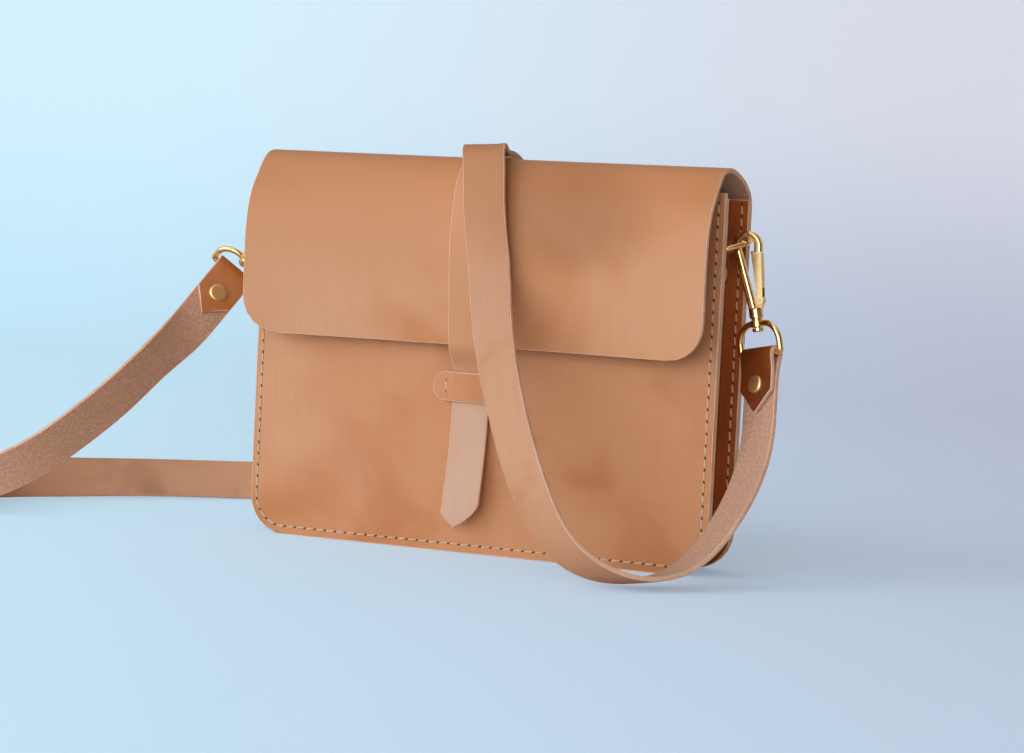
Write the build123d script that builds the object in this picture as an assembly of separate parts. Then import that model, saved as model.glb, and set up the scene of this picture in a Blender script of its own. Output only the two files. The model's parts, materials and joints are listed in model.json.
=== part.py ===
# Leather sling bag: two panels on a U gusset, a fold-over flap with a closure strap and keeper,
# and a flat shoulder strap on two swivel snap hooks and D rings.
# Millimetres, +Z up. The parts are drawn about the bag's middle plane (y = 0) and moved once when
# they are written, so that the frame's origin is on the front panel's bottom edge.
from build123d import *
import math
import os

# ---- Driving dimensions ----
# bag body
PANEL_W = 216.0
PANEL_H = 159.0
PANEL_T = 2.2
CORNER_R = 17.0
BAG_DEPTH = 33.0
BACK_PANEL_DROP = 4.0
GUSSET_T = 2.0
GUSSET_RECESS = 8.0
GUSSET_DROP = 2.0
# flap
FLAP_SHORT = 1.0
FLAP_T = 2.0
FLAP_HANG = 65.1
FLAP_CORNER_R = 16.0
HINGE_DROP = 0.4
HINGE_GAP = 0.5
KNUCKLE_R = 1.0
MARGIN_H = 7.1
MARGIN_GAP = 0.3
MARGIN_CORNER_R = 2.6
# closure strap and keeper
TONGUE_W = 17.0
TONGUE_X = -2.0
TONGUE_T = 1.5
TONGUE_LAP = 0.2
TONGUE_TIP_Z = 11.0
KEEPER_L = 37.0
KEEPER_H = 12.7
KEEPER_BELOW_FLAP = 18.15
KEEPER_T = 1.5
KEEPER_GAP = 0.4
KEEPER_SIDE_PLAY = 0.7
KEEPER_RAMP = 1.7
KEEPER_STITCH_OUT = 0.9
# sewing
STITCH_PITCH = 5.0
STITCH_L = 3.7
THREAD_W = 0.8
THREAD_PROUD = 0.35
SEAM_INSET = 3.0
SEAM_TOP_Z = 155.7
KEEPER_STITCH_L = 8.0
# D rings
RING_INNER = 19.0
RING_WIRE = 2.3
RING_REACH = 10.35
RING_CORNER_R = 1.5
RING_DROP = 22.5
RING_STAND_OFF = 2.6
RING_SKEW = 8.0
RING_RISE_RIGHT = 15.0
RING_RISE_LEFT = 4.0
TAB_W = 16.0
TAB_L = 34.0
TAB_T = 1.6
TAB_RIVET_AT = 11.0
RIVET_SHANK_D = 2.6
TAB_RIVET_D = 7.0
# snap hooks
HOOK_LENGTH = 47.0
ARM_IN_PLANE = 3.3
ARM_THICK = 3.6
THROAT_R = 3.05
WIRE_SEAT = 1.4
BOSS_D = 5.8
GATE_PIN_D = 1.3
GATE_THICK = 3.8
GATE_SLOT = 2.3
BLOCK_THICK = 2.0
STUD_POST_D = 2.4
STUD_HEAD_D = 4.8
LOOP_INNER = 21.0
LOOP_WIRE = 2.6
CROWN_D = 5.8
# shoulder strap
STRAP_W = 19.0
STRAP_T = 2.0
END_LENGTH = 28.0
TAB_POINT = 24.4
TAB_SHOULDER = 15.2
END_RIVET_AT = 12.6
END_RIVET_D = 8.2
LEG_GAP = 0.3
PLAY = 0.2

# ---- Sizes that follow ----
BACK_PANEL_H = PANEL_H - BACK_PANEL_DROP
GUSSET_TOP = PANEL_H - GUSSET_DROP
HINGE_Z = BACK_PANEL_H - HINGE_DROP
MARGIN_LOW_Z = HINGE_Z - MARGIN_H
FLAP_W = PANEL_W - 2 * FLAP_SHORT
FLAP_LOW_Z = HINGE_Z - FLAP_HANG
KEEPER_Z = FLAP_LOW_Z - KEEPER_BELOW_FLAP
KEEPER_BEND_IN = TONGUE_W / 2 + KEEPER_SIDE_PLAY
KEEPER_BEND_OUT = KEEPER_BEND_IN + KEEPER_RAMP
RING_Z = PANEL_H - RING_DROP
FACE_Y = BAG_DEPTH / 2
FLANGE_Y = FACE_Y - PANEL_T
WEB_X = PANEL_W / 2 - GUSSET_RECESS
HINGE_Y = FACE_Y + HINGE_GAP + KNUCKLE_R
RING_HALF = (RING_INNER + RING_WIRE) / 2
BOW_CENTRE = RING_REACH - RING_HALF
BASE_SHIFT = Pos(0, FACE_Y - PANEL_T / 2, 0)
CUT_REACH = 60.0

os.makedirs("parts", exist_ok=True)


def save(shape, node):
    export_step(BASE_SHIFT * shape, "parts/" + node + ".step")
    print(node, len(shape.solids()), "solids")


def vec(*values):
    return Vector(*values)


def frame_at(origin, x_dir, z_dir):
    return Plane(origin=origin, x_dir=x_dir, z_dir=z_dir).location


def group(shapes):
    return Compound(children=[s for s in shapes])


def prism(points, low, high):
    """A polygon in the local XY plane, filled from z = low to z = high."""
    face = make_face(Polyline(*points, close=True))
    return Pos(0, 0, low) * extrude(face, high - low)


def rounded_loop(points, radii):
    """A closed wire round the points, each corner rounded to its own radius."""
    edges = []
    n = len(points)
    stops = []
    for i in range(n):
        p = vec(*points[i])
        to_last = (vec(*points[i - 1]) - p).normalized()
        to_next = (vec(*points[(i + 1) % n]) - p).normalized()
        half = math.radians(to_last.get_angle(to_next)) / 2
        cut = radii[i] / math.tan(half)
        middle = (to_last + to_next).normalized() * (radii[i] / math.sin(half) - radii[i])
        stops.append((p + to_last * cut, p + middle, p + to_next * cut))
    for i in range(n):
        edges.append(ThreePointArc(*stops[i]))
        edges.append(Line(stops[i][2], stops[(i + 1) % n][0]))
    return Wire([e.edge() for e in edges])


# ---- Panels and gusset ----
def panel_outline(width, height, low, radius):
    face = Rectangle(width, height - low)
    face = fillet(face.vertices().group_by(Axis.Y)[0], radius)
    return Pos(0, (height + low) / 2, 0) * face


def upright(face, y_from, y_to):
    """A face drawn in X and Z, filled between two depths."""
    placed = Plane(origin=(0, y_to, 0), x_dir=(1, 0, 0), z_dir=(0, -1, 0)).location * face
    return extrude(placed, y_to - y_from)


def front_panel():
    return upright(panel_outline(PANEL_W, PANEL_H, 0, CORNER_R), -FACE_Y, -FLANGE_Y)


def back_panel():
    return upright(panel_outline(PANEL_W, BACK_PANEL_H, 0, CORNER_R), FLANGE_Y, FACE_Y)


def gusset():
    inset = GUSSET_RECESS
    inner = GUSSET_RECESS + GUSSET_T
    outer_face = panel_outline(PANEL_W, GUSSET_TOP, 0, CORNER_R)
    web_face = panel_outline(PANEL_W - 2 * inset, GUSSET_TOP, inset, CORNER_R - inset)
    room_face = panel_outline(PANEL_W - 2 * inner, GUSSET_TOP + 1, inner, CORNER_R - inner)
    body = upright(outer_face, -FLANGE_Y, FLANGE_Y)
    channel = outer_face - web_face
    body -= upright(channel, -FLANGE_Y + GUSSET_T, FLANGE_Y - GUSSET_T)
    body -= upright(room_face, -FLANGE_Y - 1, FLANGE_Y + 1)
    for side in (-1, 1):
        for spot in tab_rivet_spots(side):
            body -= spot * Cylinder(RIVET_SHANK_D / 2 + 0.1, 3 * GUSSET_T)
    return body


# ---- Flap ----
# The flap's outer line over the top: how far outside a panel's face, how far above the hinge.
REAR = [
    (HINGE_GAP + 2 * KNUCKLE_R, 0.0),
    (1.8, 3.4),
    (-1.2, 6.7),
    (-6.8, 10.2),
    (-14.9, 13.2),
    (-23.5, 14.9),
]
FRONT_AT_SIDES = [
    (0.5, 13.1),
    (7.5, 5.4),
    (13.5, -3.6),
    (16.9, -16.6),
    (17.5, -34.6),
    (16.7, -FLAP_HANG),
]
FRONT_AT_TONGUE = [
    (-0.5, 12.6),
    (5.5, 6.0),
    (8.9, -3.6),
    (10.7, -16.6),
    (10.1, -34.6),
    (7.1, -FLAP_HANG),
]


def run_beside(curve, distance, start=0.0, end=1.0, count=14):
    """A curve at a distance to the left of another one. Equal knots keep lofts between them fair."""
    points = []
    knots = []
    for i in range(count + 1):
        u = start + (end - start) * i / count
        along = curve % u
        points.append((curve @ u) + vec(-along.Y, along.X) * distance)
        knots.append(i / count)
    return Edge.make_spline(points, parameters=knots)


def profile(front):
    behind = [vec(FACE_Y + out, HINGE_Z + up) for out, up in REAR]
    ahead = [vec(-FACE_Y - out, HINGE_Z + up) for out, up in front]
    return run_beside(Spline(*behind, *ahead), 0)


def skin(curve, near, far, start=0.0, end=1.0):
    """The face between two curves beside a profile."""
    a = run_beside(curve, near, start, end)
    b = run_beside(curve, far, start, end)
    return make_face([a, Line(a @ 1, b @ 1), b, Line(b @ 0, a @ 0)])


def side_plane(x):
    """Local X is the frame's Y and local Y is the frame's Z."""
    return Plane(origin=(x, 0, 0), x_dir=(0, 1, 0), z_dir=(1, 0, 0)).location


def flap_corner_waste(side):
    low = FLAP_LOW_Z - 1
    x_edge = side * (FLAP_W / 2 + 1)
    x_in = side * (FLAP_W / 2 - FLAP_CORNER_R)
    z_in = FLAP_LOW_Z + FLAP_CORNER_R
    block = Pos((x_edge + x_in) / 2, (low + z_in) / 2) * Rectangle(abs(x_edge - x_in), z_in - low)
    block -= Pos(x_in, z_in) * Circle(FLAP_CORNER_R)
    return upright(block, -CUT_REACH, 0)


def flap():
    half = FLAP_W / 2
    side_face = skin(profile(FRONT_AT_SIDES), 0, FLAP_T)
    middle_face = skin(profile(FRONT_AT_TONGUE), 0, FLAP_T)
    sections = [
        side_plane(-half) * side_face,
        side_plane(TONGUE_X) * middle_face,
        side_plane(half) * side_face,
    ]
    body = loft(sections)
    knuckle = Pos(0, HINGE_Y, HINGE_Z) * Rot(0, 90, 0) * Cylinder(KNUCKLE_R, FLAP_W)
    body += knuckle
    for side in (-1, 1):
        body -= flap_corner_waste(side)
    return body


def flap_margin():
    high = HINGE_Z - KNUCKLE_R - MARGIN_GAP
    height = high - MARGIN_LOW_Z
    face = Rectangle(FLAP_W, height)
    face = fillet(face.vertices().group_by(Axis.Y)[0], MARGIN_CORNER_R)
    face = Pos(0, MARGIN_LOW_Z + height / 2) * face
    return upright(face, FACE_Y, FACE_Y + FLAP_T)


# ---- Closure strap and keeper ----
def tongue_slab(face):
    return extrude(side_plane(TONGUE_X - TONGUE_W / 2) * face, TONGUE_W)


def closure_strap():
    curve = profile(FRONT_AT_TONGUE)
    return tongue_slab(skin(curve, -TONGUE_LAP, -TONGUE_LAP - TONGUE_T, 0.045, 1.0))


def closure_strap_end():
    curve = profile(FRONT_AT_TONGUE)
    start = run_beside(curve, -TONGUE_LAP - TONGUE_T / 2, 0.9, 1.0) @ 1
    seat = -(FACE_Y + MARGIN_GAP + TONGUE_T / 2)
    keeper_top = KEEPER_Z + KEEPER_H / 2
    keeper_low = KEEPER_Z - KEEPER_H / 2
    bow = [
        vec(start.X + 0.1, start.Y - 3 * PLAY),
        vec(seat - 3.1, keeper_top + 5.4),
        vec(seat - 0.1, keeper_top - 0.5),
        vec(seat, keeper_low + 4.0),
        vec(seat - 0.25, keeper_low - 3.0),
        vec(-19.6, 42.0),
        vec(-22.4, 27.0),
        vec(-25.4, TONGUE_TIP_Z),
    ]
    body = tongue_slab(skin(Spline(*bow), -TONGUE_T / 2, TONGUE_T / 2))
    left = TONGUE_X - TONGUE_W / 2 - 1
    right = TONGUE_X + TONGUE_W / 2 + 1
    tip = vec(TONGUE_X - 2.2, TONGUE_TIP_Z)
    shoulder_l = vec(left + 1, TONGUE_TIP_Z + 6.4)
    shoulder_r = vec(right - 1, TONGUE_TIP_Z + 11.4)
    top = start.Y + 5
    point = ThreePointArc(tip, vec(TONGUE_X + 3.9, TONGUE_TIP_Z + 4.6), shoulder_r)
    edge = Polyline(
        shoulder_r, vec(right, shoulder_r.Y), vec(right, top), vec(left, top),
        vec(left, shoulder_l.Y), shoulder_l, tip,
    )
    return body & upright(make_face([point, edge]), -CUT_REACH, 0)


def keeper():
    bridge = FACE_Y + MARGIN_GAP + TONGUE_T + KEEPER_GAP
    half_in = KEEPER_BEND_IN
    half_out = KEEPER_BEND_OUT
    lift = bridge - FACE_Y
    lower = [
        (-KEEPER_L / 2, 0), (-half_out, 0), (-half_in, lift),
        (half_in, lift), (half_out, 0), (KEEPER_L / 2, 0),
    ]
    upper = [
        (KEEPER_L / 2, KEEPER_T), (half_out + 0.4, KEEPER_T), (half_in + 0.5, lift + KEEPER_T),
        (-half_in - 0.5, lift + KEEPER_T), (-half_out - 0.4, KEEPER_T), (-KEEPER_L / 2, KEEPER_T),
    ]
    low = KEEPER_Z - KEEPER_H / 2
    body = prism(lower + upper, 0, KEEPER_H)
    spot = Plane(origin=(TONGUE_X, -FACE_Y, low + KEEPER_H), x_dir=(1, 0, 0), z_dir=(0, 0, -1))
    body = spot.location * body
    outline = Pos(TONGUE_X, KEEPER_Z) * SlotOverall(KEEPER_L, KEEPER_H)
    return body & upright(outline, -FACE_Y - 10, 0)


# ---- Sewing ----
def seam_path(top_z):
    x = PANEL_W / 2 - SEAM_INSET
    z = SEAM_INSET + 0.5
    r = CORNER_R - SEAM_INSET
    middle = r * math.sqrt(0.5)
    return Wire([
        Line((x, top_z), (x, z + r)).edge(),
        ThreePointArc((x, z + r), (x - r + middle, z + r - middle), (x - r, z)).edge(),
        Line((x - r, z), (r - x, z)).edge(),
        ThreePointArc((r - x, z), (r - x - middle, z + r - middle), (-x, z + r)).edge(),
        Line((-x, z + r), (-x, top_z)).edge(),
    ])


def stitch_row(path, y_low, y_high):
    """Surface stitches along a path drawn in X and Z, lying between two depths."""
    count = round(path.length / STITCH_PITCH)
    made = []
    for i in range(count):
        u = (i + 0.5) / count
        at = path @ u
        along = path % u
        turn = math.degrees(math.atan2(along.Y, along.X))
        bar = Box(STITCH_L, y_high - y_low, THREAD_W)
        made.append(Pos(at.X, (y_low + y_high) / 2, at.Y) * Rot(0, -turn, 0) * bar)
    return made


def panel_seam(side, top_z):
    """The outer row runs up to top_z, and the row inside the flange always to the seam's top."""
    rows = []
    for surface, outward, top in (
        (side * FACE_Y, side, top_z), (side * (FLANGE_Y - GUSSET_T), -side, SEAM_TOP_Z),
    ):
        proud = surface + outward * THREAD_PROUD
        rows += stitch_row(seam_path(top), min(surface, proud), max(surface, proud))
    return group(rows)


def flap_seam():
    z = (MARGIN_LOW_Z + HINGE_Z - KNUCKLE_R - MARGIN_GAP) / 2
    x = FLAP_W / 2 - SEAM_INSET
    path = Wire([Line((x, z), (-x, z)).edge()])
    return group(stitch_row(path, FACE_Y + FLAP_T, FACE_Y + FLAP_T + THREAD_PROUD))


def keeper_thread():
    made = []
    for side in (-1, 1):
        x = TONGUE_X + side * (KEEPER_BEND_OUT + KEEPER_STITCH_OUT)
        y = -FACE_Y - KEEPER_T - THREAD_PROUD / 2
        made.append(Pos(x, y, KEEPER_Z) * Box(THREAD_W, THREAD_PROUD, KEEPER_STITCH_L))
    return group(made)


# ---- D rings and their tabs ----
def bar_way(side):
    """The direction of a ring's straight bar. Only the right ring hangs skewed."""
    skew = math.radians(RING_SKEW) if side > 0 else 0.0
    return vec(0, math.cos(skew), math.sin(skew))


def bar_centre(side):
    return vec(side * (WEB_X + RING_STAND_OFF), 0, RING_Z)


def tab_frame(side):
    """Local X up the web, local Y along the bar, local Z outward from the web."""
    return frame_at(vec(side * WEB_X, 0, RING_Z), bar_way(side).cross(vec(side, 0, 0)), vec(side, 0, 0))


def tab_rivet_spots(side):
    return [tab_frame(side) * Pos(at, 0, 0) for at in (-TAB_RIVET_AT, TAB_RIVET_AT)]


def d_ring_tab(side):
    r = RING_WIRE / 2 + 0.35 + TAB_T / 2
    mid = TAB_T / 2
    top = RING_STAND_OFF
    foot = r + 2.1
    path = [
        Line((-TAB_L / 2, mid), (-foot, mid)),
        Line((-foot, mid), (-r, top)),
        ThreePointArc((-r, top), (0, top + r), (r, top)),
        Line((r, top), (foot, mid)),
        Line((foot, mid), (TAB_L / 2, mid)),
    ]
    strip = trace(path, TAB_T)
    strip = Plane(origin=(0, TAB_W / 2, 0), x_dir=(1, 0, 0), z_dir=(0, -1, 0)).location * strip
    body = extrude(strip, TAB_W)
    body &= Pos(0, 0, 10) * Box(TAB_L, TAB_W, 20)
    ends = extrude(fillet(Rectangle(TAB_L, TAB_W).vertices(), 3.0), 20)
    body &= ends
    for at in (-TAB_RIVET_AT, TAB_RIVET_AT):
        body -= Pos(at, 0, 0) * Cylinder(RIVET_SHANK_D / 2 + 0.1, 10)
    return tab_frame(side) * body


def rivet(cap_d, grip):
    """A double-cap rivet along Z that grips from z = 0 up to z = grip."""
    shank = Pos(0, 0, grip / 2) * Cylinder(RIVET_SHANK_D / 2, grip)
    cap = Cylinder(cap_d / 2, 1.3)
    cap = fillet(cap.edges().sort_by(Axis.Z)[-1], 1.0)
    back = Cylinder(cap_d / 2 - 0.4, 1.0)
    back = fillet(back.edges().sort_by(Axis.Z)[0], 0.6)
    return shank + Pos(0, 0, grip + 0.65) * cap + Pos(0, 0, -0.5) * back


def d_ring_rivets(side):
    made = []
    for spot in tab_rivet_spots(side):
        made.append(spot * Pos(0, 0, -GUSSET_T) * rivet(TAB_RIVET_D, GUSSET_T + TAB_T))
    return group(made)


def ring_frame(side):
    """Local X along the bar, local Y out to the bow, origin on the bar."""
    rise = math.radians(RING_RISE_RIGHT if side > 0 else RING_RISE_LEFT)
    bar = bar_way(side)
    level = vec(side, 0, 0)
    up = level.cross(bar) * side
    out = level * math.cos(rise) + up * math.sin(rise)
    return frame_at(bar_centre(side), bar, bar.cross(out))


def bow_point(angle):
    """A point on the bow's centre line, counted from its tip towards the rear."""
    a = math.radians(angle)
    return vec(RING_HALF * math.sin(a), BOW_CENTRE + RING_HALF * math.cos(a))


def d_ring(side):
    """A round bow and a straight bar, joined by two small fillets, swept as one closed wire."""
    turn = RING_CORNER_R - BOW_CENTRE
    x = math.sqrt((RING_HALF - RING_CORNER_R) ** 2 - turn ** 2)
    edges = [Line((-x, 0), (x, 0)).edge()]
    reach = vec(x, turn).normalized()
    end = vec(0, BOW_CENTRE) + reach * RING_HALF
    middle = vec(x, RING_CORNER_R) + (reach + vec(0, -1)).normalized() * RING_CORNER_R
    edges.append(ThreePointArc((x, 0), middle, end).edge())
    edges.append(ThreePointArc(end, (0, RING_REACH), (-end.X, end.Y)).edge())
    edges.append(ThreePointArc((-end.X, end.Y), (-middle.X, middle.Y), (-x, 0)).edge())
    path = Wire(edges)
    start = Plane(origin=path @ 0, z_dir=path % 0)
    return ring_frame(side) * sweep(start.location * Circle(RING_WIRE / 2), path=path)


# ---- Snap hooks ----
# A hook's own frame: local X across to the nose and gate, local Y up its swivel axis, local Z
# along the ring wire it hangs on, origin at that wire.
GRIP_ANGLE = {1: 0.0, -1: 31.3}
HOOK_DOWN = {1: vec(0.186, 0, -0.983).normalized(), -1: vec(-0.735, 0.423, -0.531).normalized()}
END_DOWN = {1: vec(0.065, -0.219, -0.973).normalized(), -1: vec(-0.326, -0.570, -0.753).normalized()}
GATE_PIN_AT = (2.5, -24.4)
BOSS_LOW = -31.6
CROWN_AT = -33.8


def grip_point(side):
    return (ring_frame(side) * Pos(*bow_point(GRIP_ANGLE[side]))).position


def hook_z(side):
    """The wire's direction at the grip, squared to the swivel axis."""
    ring = ring_frame(side)
    ahead = (ring * Pos(*bow_point(GRIP_ANGLE[side] + 2))).position
    behind = (ring * Pos(*bow_point(GRIP_ANGLE[side] - 2))).position
    along = (ahead - behind).normalized()
    if side > 0:
        along = vec(0, -1, 0)
    down = HOOK_DOWN[side]
    return (along - down * along.dot(down)).normalized()


def hook_frame(side):
    up = HOOK_DOWN[side] * -1
    return frame_at(grip_point(side), up.cross(hook_z(side)), hook_z(side))


def rod_y(diameter, low, high):
    """A round rod along local Y."""
    return Pos(0, (low + high) / 2, 0) * Rot(90, 0, 0) * Cylinder(diameter / 2, high - low)


def hook_body():
    r = THROAT_R + ARM_IN_PLANE / 2
    centre = vec(0, -WIRE_SEAT)
    foot = vec(-0.9, -28.5)
    reach = foot - centre
    lean = math.atan2(reach.Y, reach.X) - math.acos(r / reach.length)
    start = centre + vec(r * math.cos(lean), r * math.sin(lean))
    end_angle = math.radians(-8)
    stop = centre + vec(r * math.cos(end_angle), r * math.sin(end_angle))
    nose = stop + vec(math.sin(end_angle), -math.cos(end_angle)) * 2.4
    path = Wire([
        Line(foot, start).edge(),
        ThreePointArc(start, centre + vec(0, r), stop).edge(),
        Line(stop, nose).edge(),
    ])
    section = Plane(origin=path @ 0, x_dir=(0, 0, 1), z_dir=path % 0).location
    arm = sweep(section * RectangleRounded(ARM_THICK, ARM_IN_PLANE, 1.1), path=path)
    pin = vec(*GATE_PIN_AT)
    block = prism([(-1.5, -28.4), (1.8, -29.6), (4.1, -25.6), (3.6, -23.0), (1.6, -22.9), (-0.6, -24.5)],
                  -BLOCK_THICK / 2, BLOCK_THICK / 2)
    block += Pos(pin.X, pin.Y, 0) * Cylinder(1.9, BLOCK_THICK)
    boss = rod_y(BOSS_D, BOSS_LOW, -27.2)
    boss = chamfer(boss.edges(), 0.5)
    body = arm + boss + block
    body -= Pos(pin.X, pin.Y, 0) * Cylinder(GATE_PIN_D / 2, 8)
    return body


def snap_gate():
    pin = vec(*GATE_PIN_AT)
    half = GATE_THICK / 2
    bar = prism([
        (3.9, -25.4), (5.9, -5.0), (2.3, -5.0), (2.3, -3.7), (1.55, -3.7),
        (1.6, -7.0), (1.8, -19.0), (1.0, -22.9),
    ], -half, half)
    bar += Pos(pin.X, pin.Y, 0) * Cylinder(1.85, GATE_THICK)
    slot = Pos(2.5, -24.6, 0) * Box(8, 10.6, GATE_SLOT)
    bar -= slot
    bar -= Pos(pin.X, pin.Y, 0) * Cylinder(GATE_PIN_D / 2 + 0.1, 8)
    return bar


def gate_pin():
    return Pos(GATE_PIN_AT[0], GATE_PIN_AT[1], 0) * Cylinder(GATE_PIN_D / 2 - 0.02, GATE_THICK + 0.8)


def gate_spring():
    face = trace([Line((2.0, -22.35), (2.9, -19.75))], 0.3)
    return Pos(0, 0, -0.7) * extrude(face, 1.4)


def swivel_stud():
    collar = rod_y(4.4, BOSS_LOW - 0.6, BOSS_LOW)
    post = rod_y(STUD_POST_D, CROWN_AT - 2.2, BOSS_LOW)
    head = rod_y(STUD_HEAD_D, CROWN_AT - 3.4, CROWN_AT - 1.8)
    head = fillet(head.edges().sort_by(Axis.Y)[0], 0.6)
    return collar + post + head


# ---- Swivel loops ----
def bar_spot(side):
    return grip_point(side) + HOOK_DOWN[side] * HOOK_LENGTH


def bar_along(side):
    """A loop's bar lies square to its hook and to the strap that hangs on it."""
    return END_DOWN[side].cross(HOOK_DOWN[side]).normalized()


def loop_frame(side):
    """Local X along the loop's bar, local Y up the swivel axis, origin on the hook's ring wire."""
    up = HOOK_DOWN[side] * -1
    along = bar_along(side)
    return frame_at(grip_point(side), along, along.cross(up))


def swivel_loop():
    half = (LOOP_INNER + LOOP_WIRE) / 2
    corners = [(-half, -HOOK_LENGTH), (half, -HOOK_LENGTH), (half, CROWN_AT), (-half, CROWN_AT)]
    path = rounded_loop(corners, [1.7, 1.7, 8.0, 8.0])
    start = Plane(origin=path @ 0, z_dir=path % 0)
    wire = sweep(start.location * Circle(LOOP_WIRE / 2), path=path)
    crown = rod_y(CROWN_D, CROWN_AT - 1.5, CROWN_AT + 1.5)
    crown = chamfer(crown.edges(), 0.35)
    return wire + crown - rod_y(STUD_POST_D + 0.5, CROWN_AT - 6, CROWN_AT + 6)


# ---- Shoulder strap ----
def end_frame(side):
    """Local X along the loop's bar, local Y up the strap, local Z to the pointed tab's side."""
    up = END_DOWN[side] * -1
    along = bar_along(side)
    return frame_at(bar_spot(side), along, along.cross(up))


LEG_Z = (STRAP_T + LEG_GAP) / 2


def strap_end():
    """The strap's end, folded round the loop's bar and riveted back on itself."""
    r = LOOP_WIRE / 2 + PLAY + STRAP_T / 2
    meet = -7.5
    path = [
        Line((-END_LENGTH, -LEG_Z), (meet, -LEG_Z)),
        Line((meet, -LEG_Z), (-0.8, -r)),
        ThreePointArc((-0.8, -r), (math.sqrt(r * r - 0.64), 0), (-0.8, r)),
        Line((-0.8, r), (meet, LEG_Z)),
        Line((meet, LEG_Z), (-TAB_POINT, LEG_Z)),
    ]
    side_face = trace(path, STRAP_T)
    stand = Plane(origin=(-STRAP_W / 2, 0, 0), x_dir=(0, 1, 0), z_dir=(1, 0, 0)).location
    body = extrude(stand * side_face, STRAP_W)
    half = STRAP_W / 2
    for s in (-1, 1):
        waste = [(s * (half + 1), -TAB_SHOULDER), (s * half, -TAB_SHOULDER), (0, -TAB_POINT),
                 (0, -TAB_POINT - 2), (s * (half + 1), -TAB_POINT - 2)]
        body -= prism(waste, 0, 5)
    body -= Pos(0, -END_RIVET_AT, 0) * Cylinder(RIVET_SHANK_D / 2 + 0.1, 12)
    return body


def strap_rivet():
    grip = 2 * STRAP_T + LEG_GAP
    return Pos(0, -END_RIVET_AT, -grip / 2) * rivet(END_RIVET_D, grip)


# Where the strap lies between its two ends: centre (x, y, z), then which way its width runs.
STRAP_ROUTE = [
    ((-163.0, -7.8, 74.4), (-0.23, -0.62, 0.75)),
    ((-171.7, -25.4, 57.6), (-0.21, -0.62, 0.76)),
    ((-183.7, -41.8, 41.2), (-0.21, -0.62, 0.76)),
    ((-200.1, -54.6, 26.1), (-0.26, -0.58, 0.77)),
    ((-220.9, -59.3, 15.9), (-0.34, -0.41, 0.85)),
    ((-242.0, -51.8, 11.2), (-0.26, -0.14, 0.96)),
    ((-255.0, -33.1, 10.2), (-0.08, 0.0, 1.0)),
    ((-255.9, -9.6, 10.2), (-0.03, 0.02, 1.0)),
    ((-246.8, 13.5, 10.0), (-0.15, 0.09, 0.98)),
    ((-232.1, 35.3, 9.8), (-0.28, 0.21, 0.94)),
    ((-194.0, 77.1, 9.5), (-0.32, 0.34, 0.88)),
    ((-146.5, 112.9, 10.2), (-0.25, 0.33, 0.91)),
    ((-117.8, 122.6, 14.2), (-0.23, 0.29, 0.93)),
    ((-87.7, 123.4, 21.4), (-0.23, 0.34, 0.91)),
    ((-59.4, 118.3, 31.3), (-0.16, 0.48, 0.86)),
    ((-37.0, 108.0, 45.5), (0.01, 0.62, 0.78)),
    ((-20.5, 90.0, 62.0), (0.29, 0.70, 0.64)),
    ((-10.5, 74.0, 84.0), (0.62, 0.62, 0.46)),
    ((-6.5, 62.5, 104.5), (0.86, 0.42, 0.26)),
    ((-4.6, 51.5, 124.5), (0.96, 0.24, 0.12)),
    ((-3.5, 39.5, 142.5), (0.99, 0.12, 0.04)),
    ((-2.9, 28.0, 155.8), (0.99, 0.10, 0.02)),
    ((-2.4, 17.6, 164.4), (0.99, 0.10, 0.02)),
    ((-1.8, 8.5, 169.8), (0.99, 0.10, 0.02)),
    ((-1.0, -1.5, 172.7), (0.99, 0.10, 0.02)),
    ((-0.1, -10.5, 173.2), (0.99, 0.10, 0.05)),
    ((1.5, -20.8, 170.1), (0.98, 0.09, 0.16)),
    ((4.6, -30.0, 156.0), (0.98, 0.01, 0.19)),
    ((7.0, -31.2, 141.7), (0.98, -0.02, 0.17)),
    ((9.8, -32.2, 126.4), (0.97, 0.01, 0.24)),
    ((15.6, -40.1, 107.8), (0.93, 0.0, 0.37)),
    ((25.7, -54.0, 86.6), (0.86, -0.07, 0.51)),
    ((39.8, -69.8, 62.7), (0.80, -0.16, 0.58)),
    ((56.4, -82.8, 36.7), (0.75, -0.27, 0.60)),
    ((75.6, -83.7, 12.8), (0.66, -0.57, 0.49)),
    ((95.1, -68.2, 4.0), (0.70, -0.68, 0.21)),
    ((110.4, -48.7, 9.0), (0.78, -0.61, 0.13)),
    ((119.5, -31.6, 25.3), (0.82, -0.55, 0.14)),
]
FOLLOW_STEPS = 3


def route():
    """The stations from the left end piece to the right one."""
    stations = []
    for side in (-1, 1):
        spot = end_frame(side) * Pos(0, -END_LENGTH - PLAY, -LEG_Z)
        plane = Plane(spot)
        width_way = plane.x_dir * side
        along = plane.y_dir * side
        stations.append((spot.position, width_way, along))
    middle = [(vec(*p), vec(*a), None) for p, a in STRAP_ROUTE]
    return [stations[0]] + middle + [stations[1]]


def blend_at(a, b, ta, tb, u):
    """Cubic between two values with given end slopes."""
    u2 = u * u
    u3 = u2 * u
    return (a * (2 * u3 - 3 * u2 + 1) + ta * (u3 - 2 * u2 + u)
            + b * (3 * u2 - 2 * u3) + tb * (u3 - u2))


def slopes(values, first=None, last=None):
    n = len(values)
    made = [(values[i + 1] - values[i - 1]) * 0.5 for i in range(1, n - 1)]
    start = first if first is not None else values[1] - values[0]
    end = last if last is not None else values[-1] - values[-2]
    return [start] + made + [end]


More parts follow.
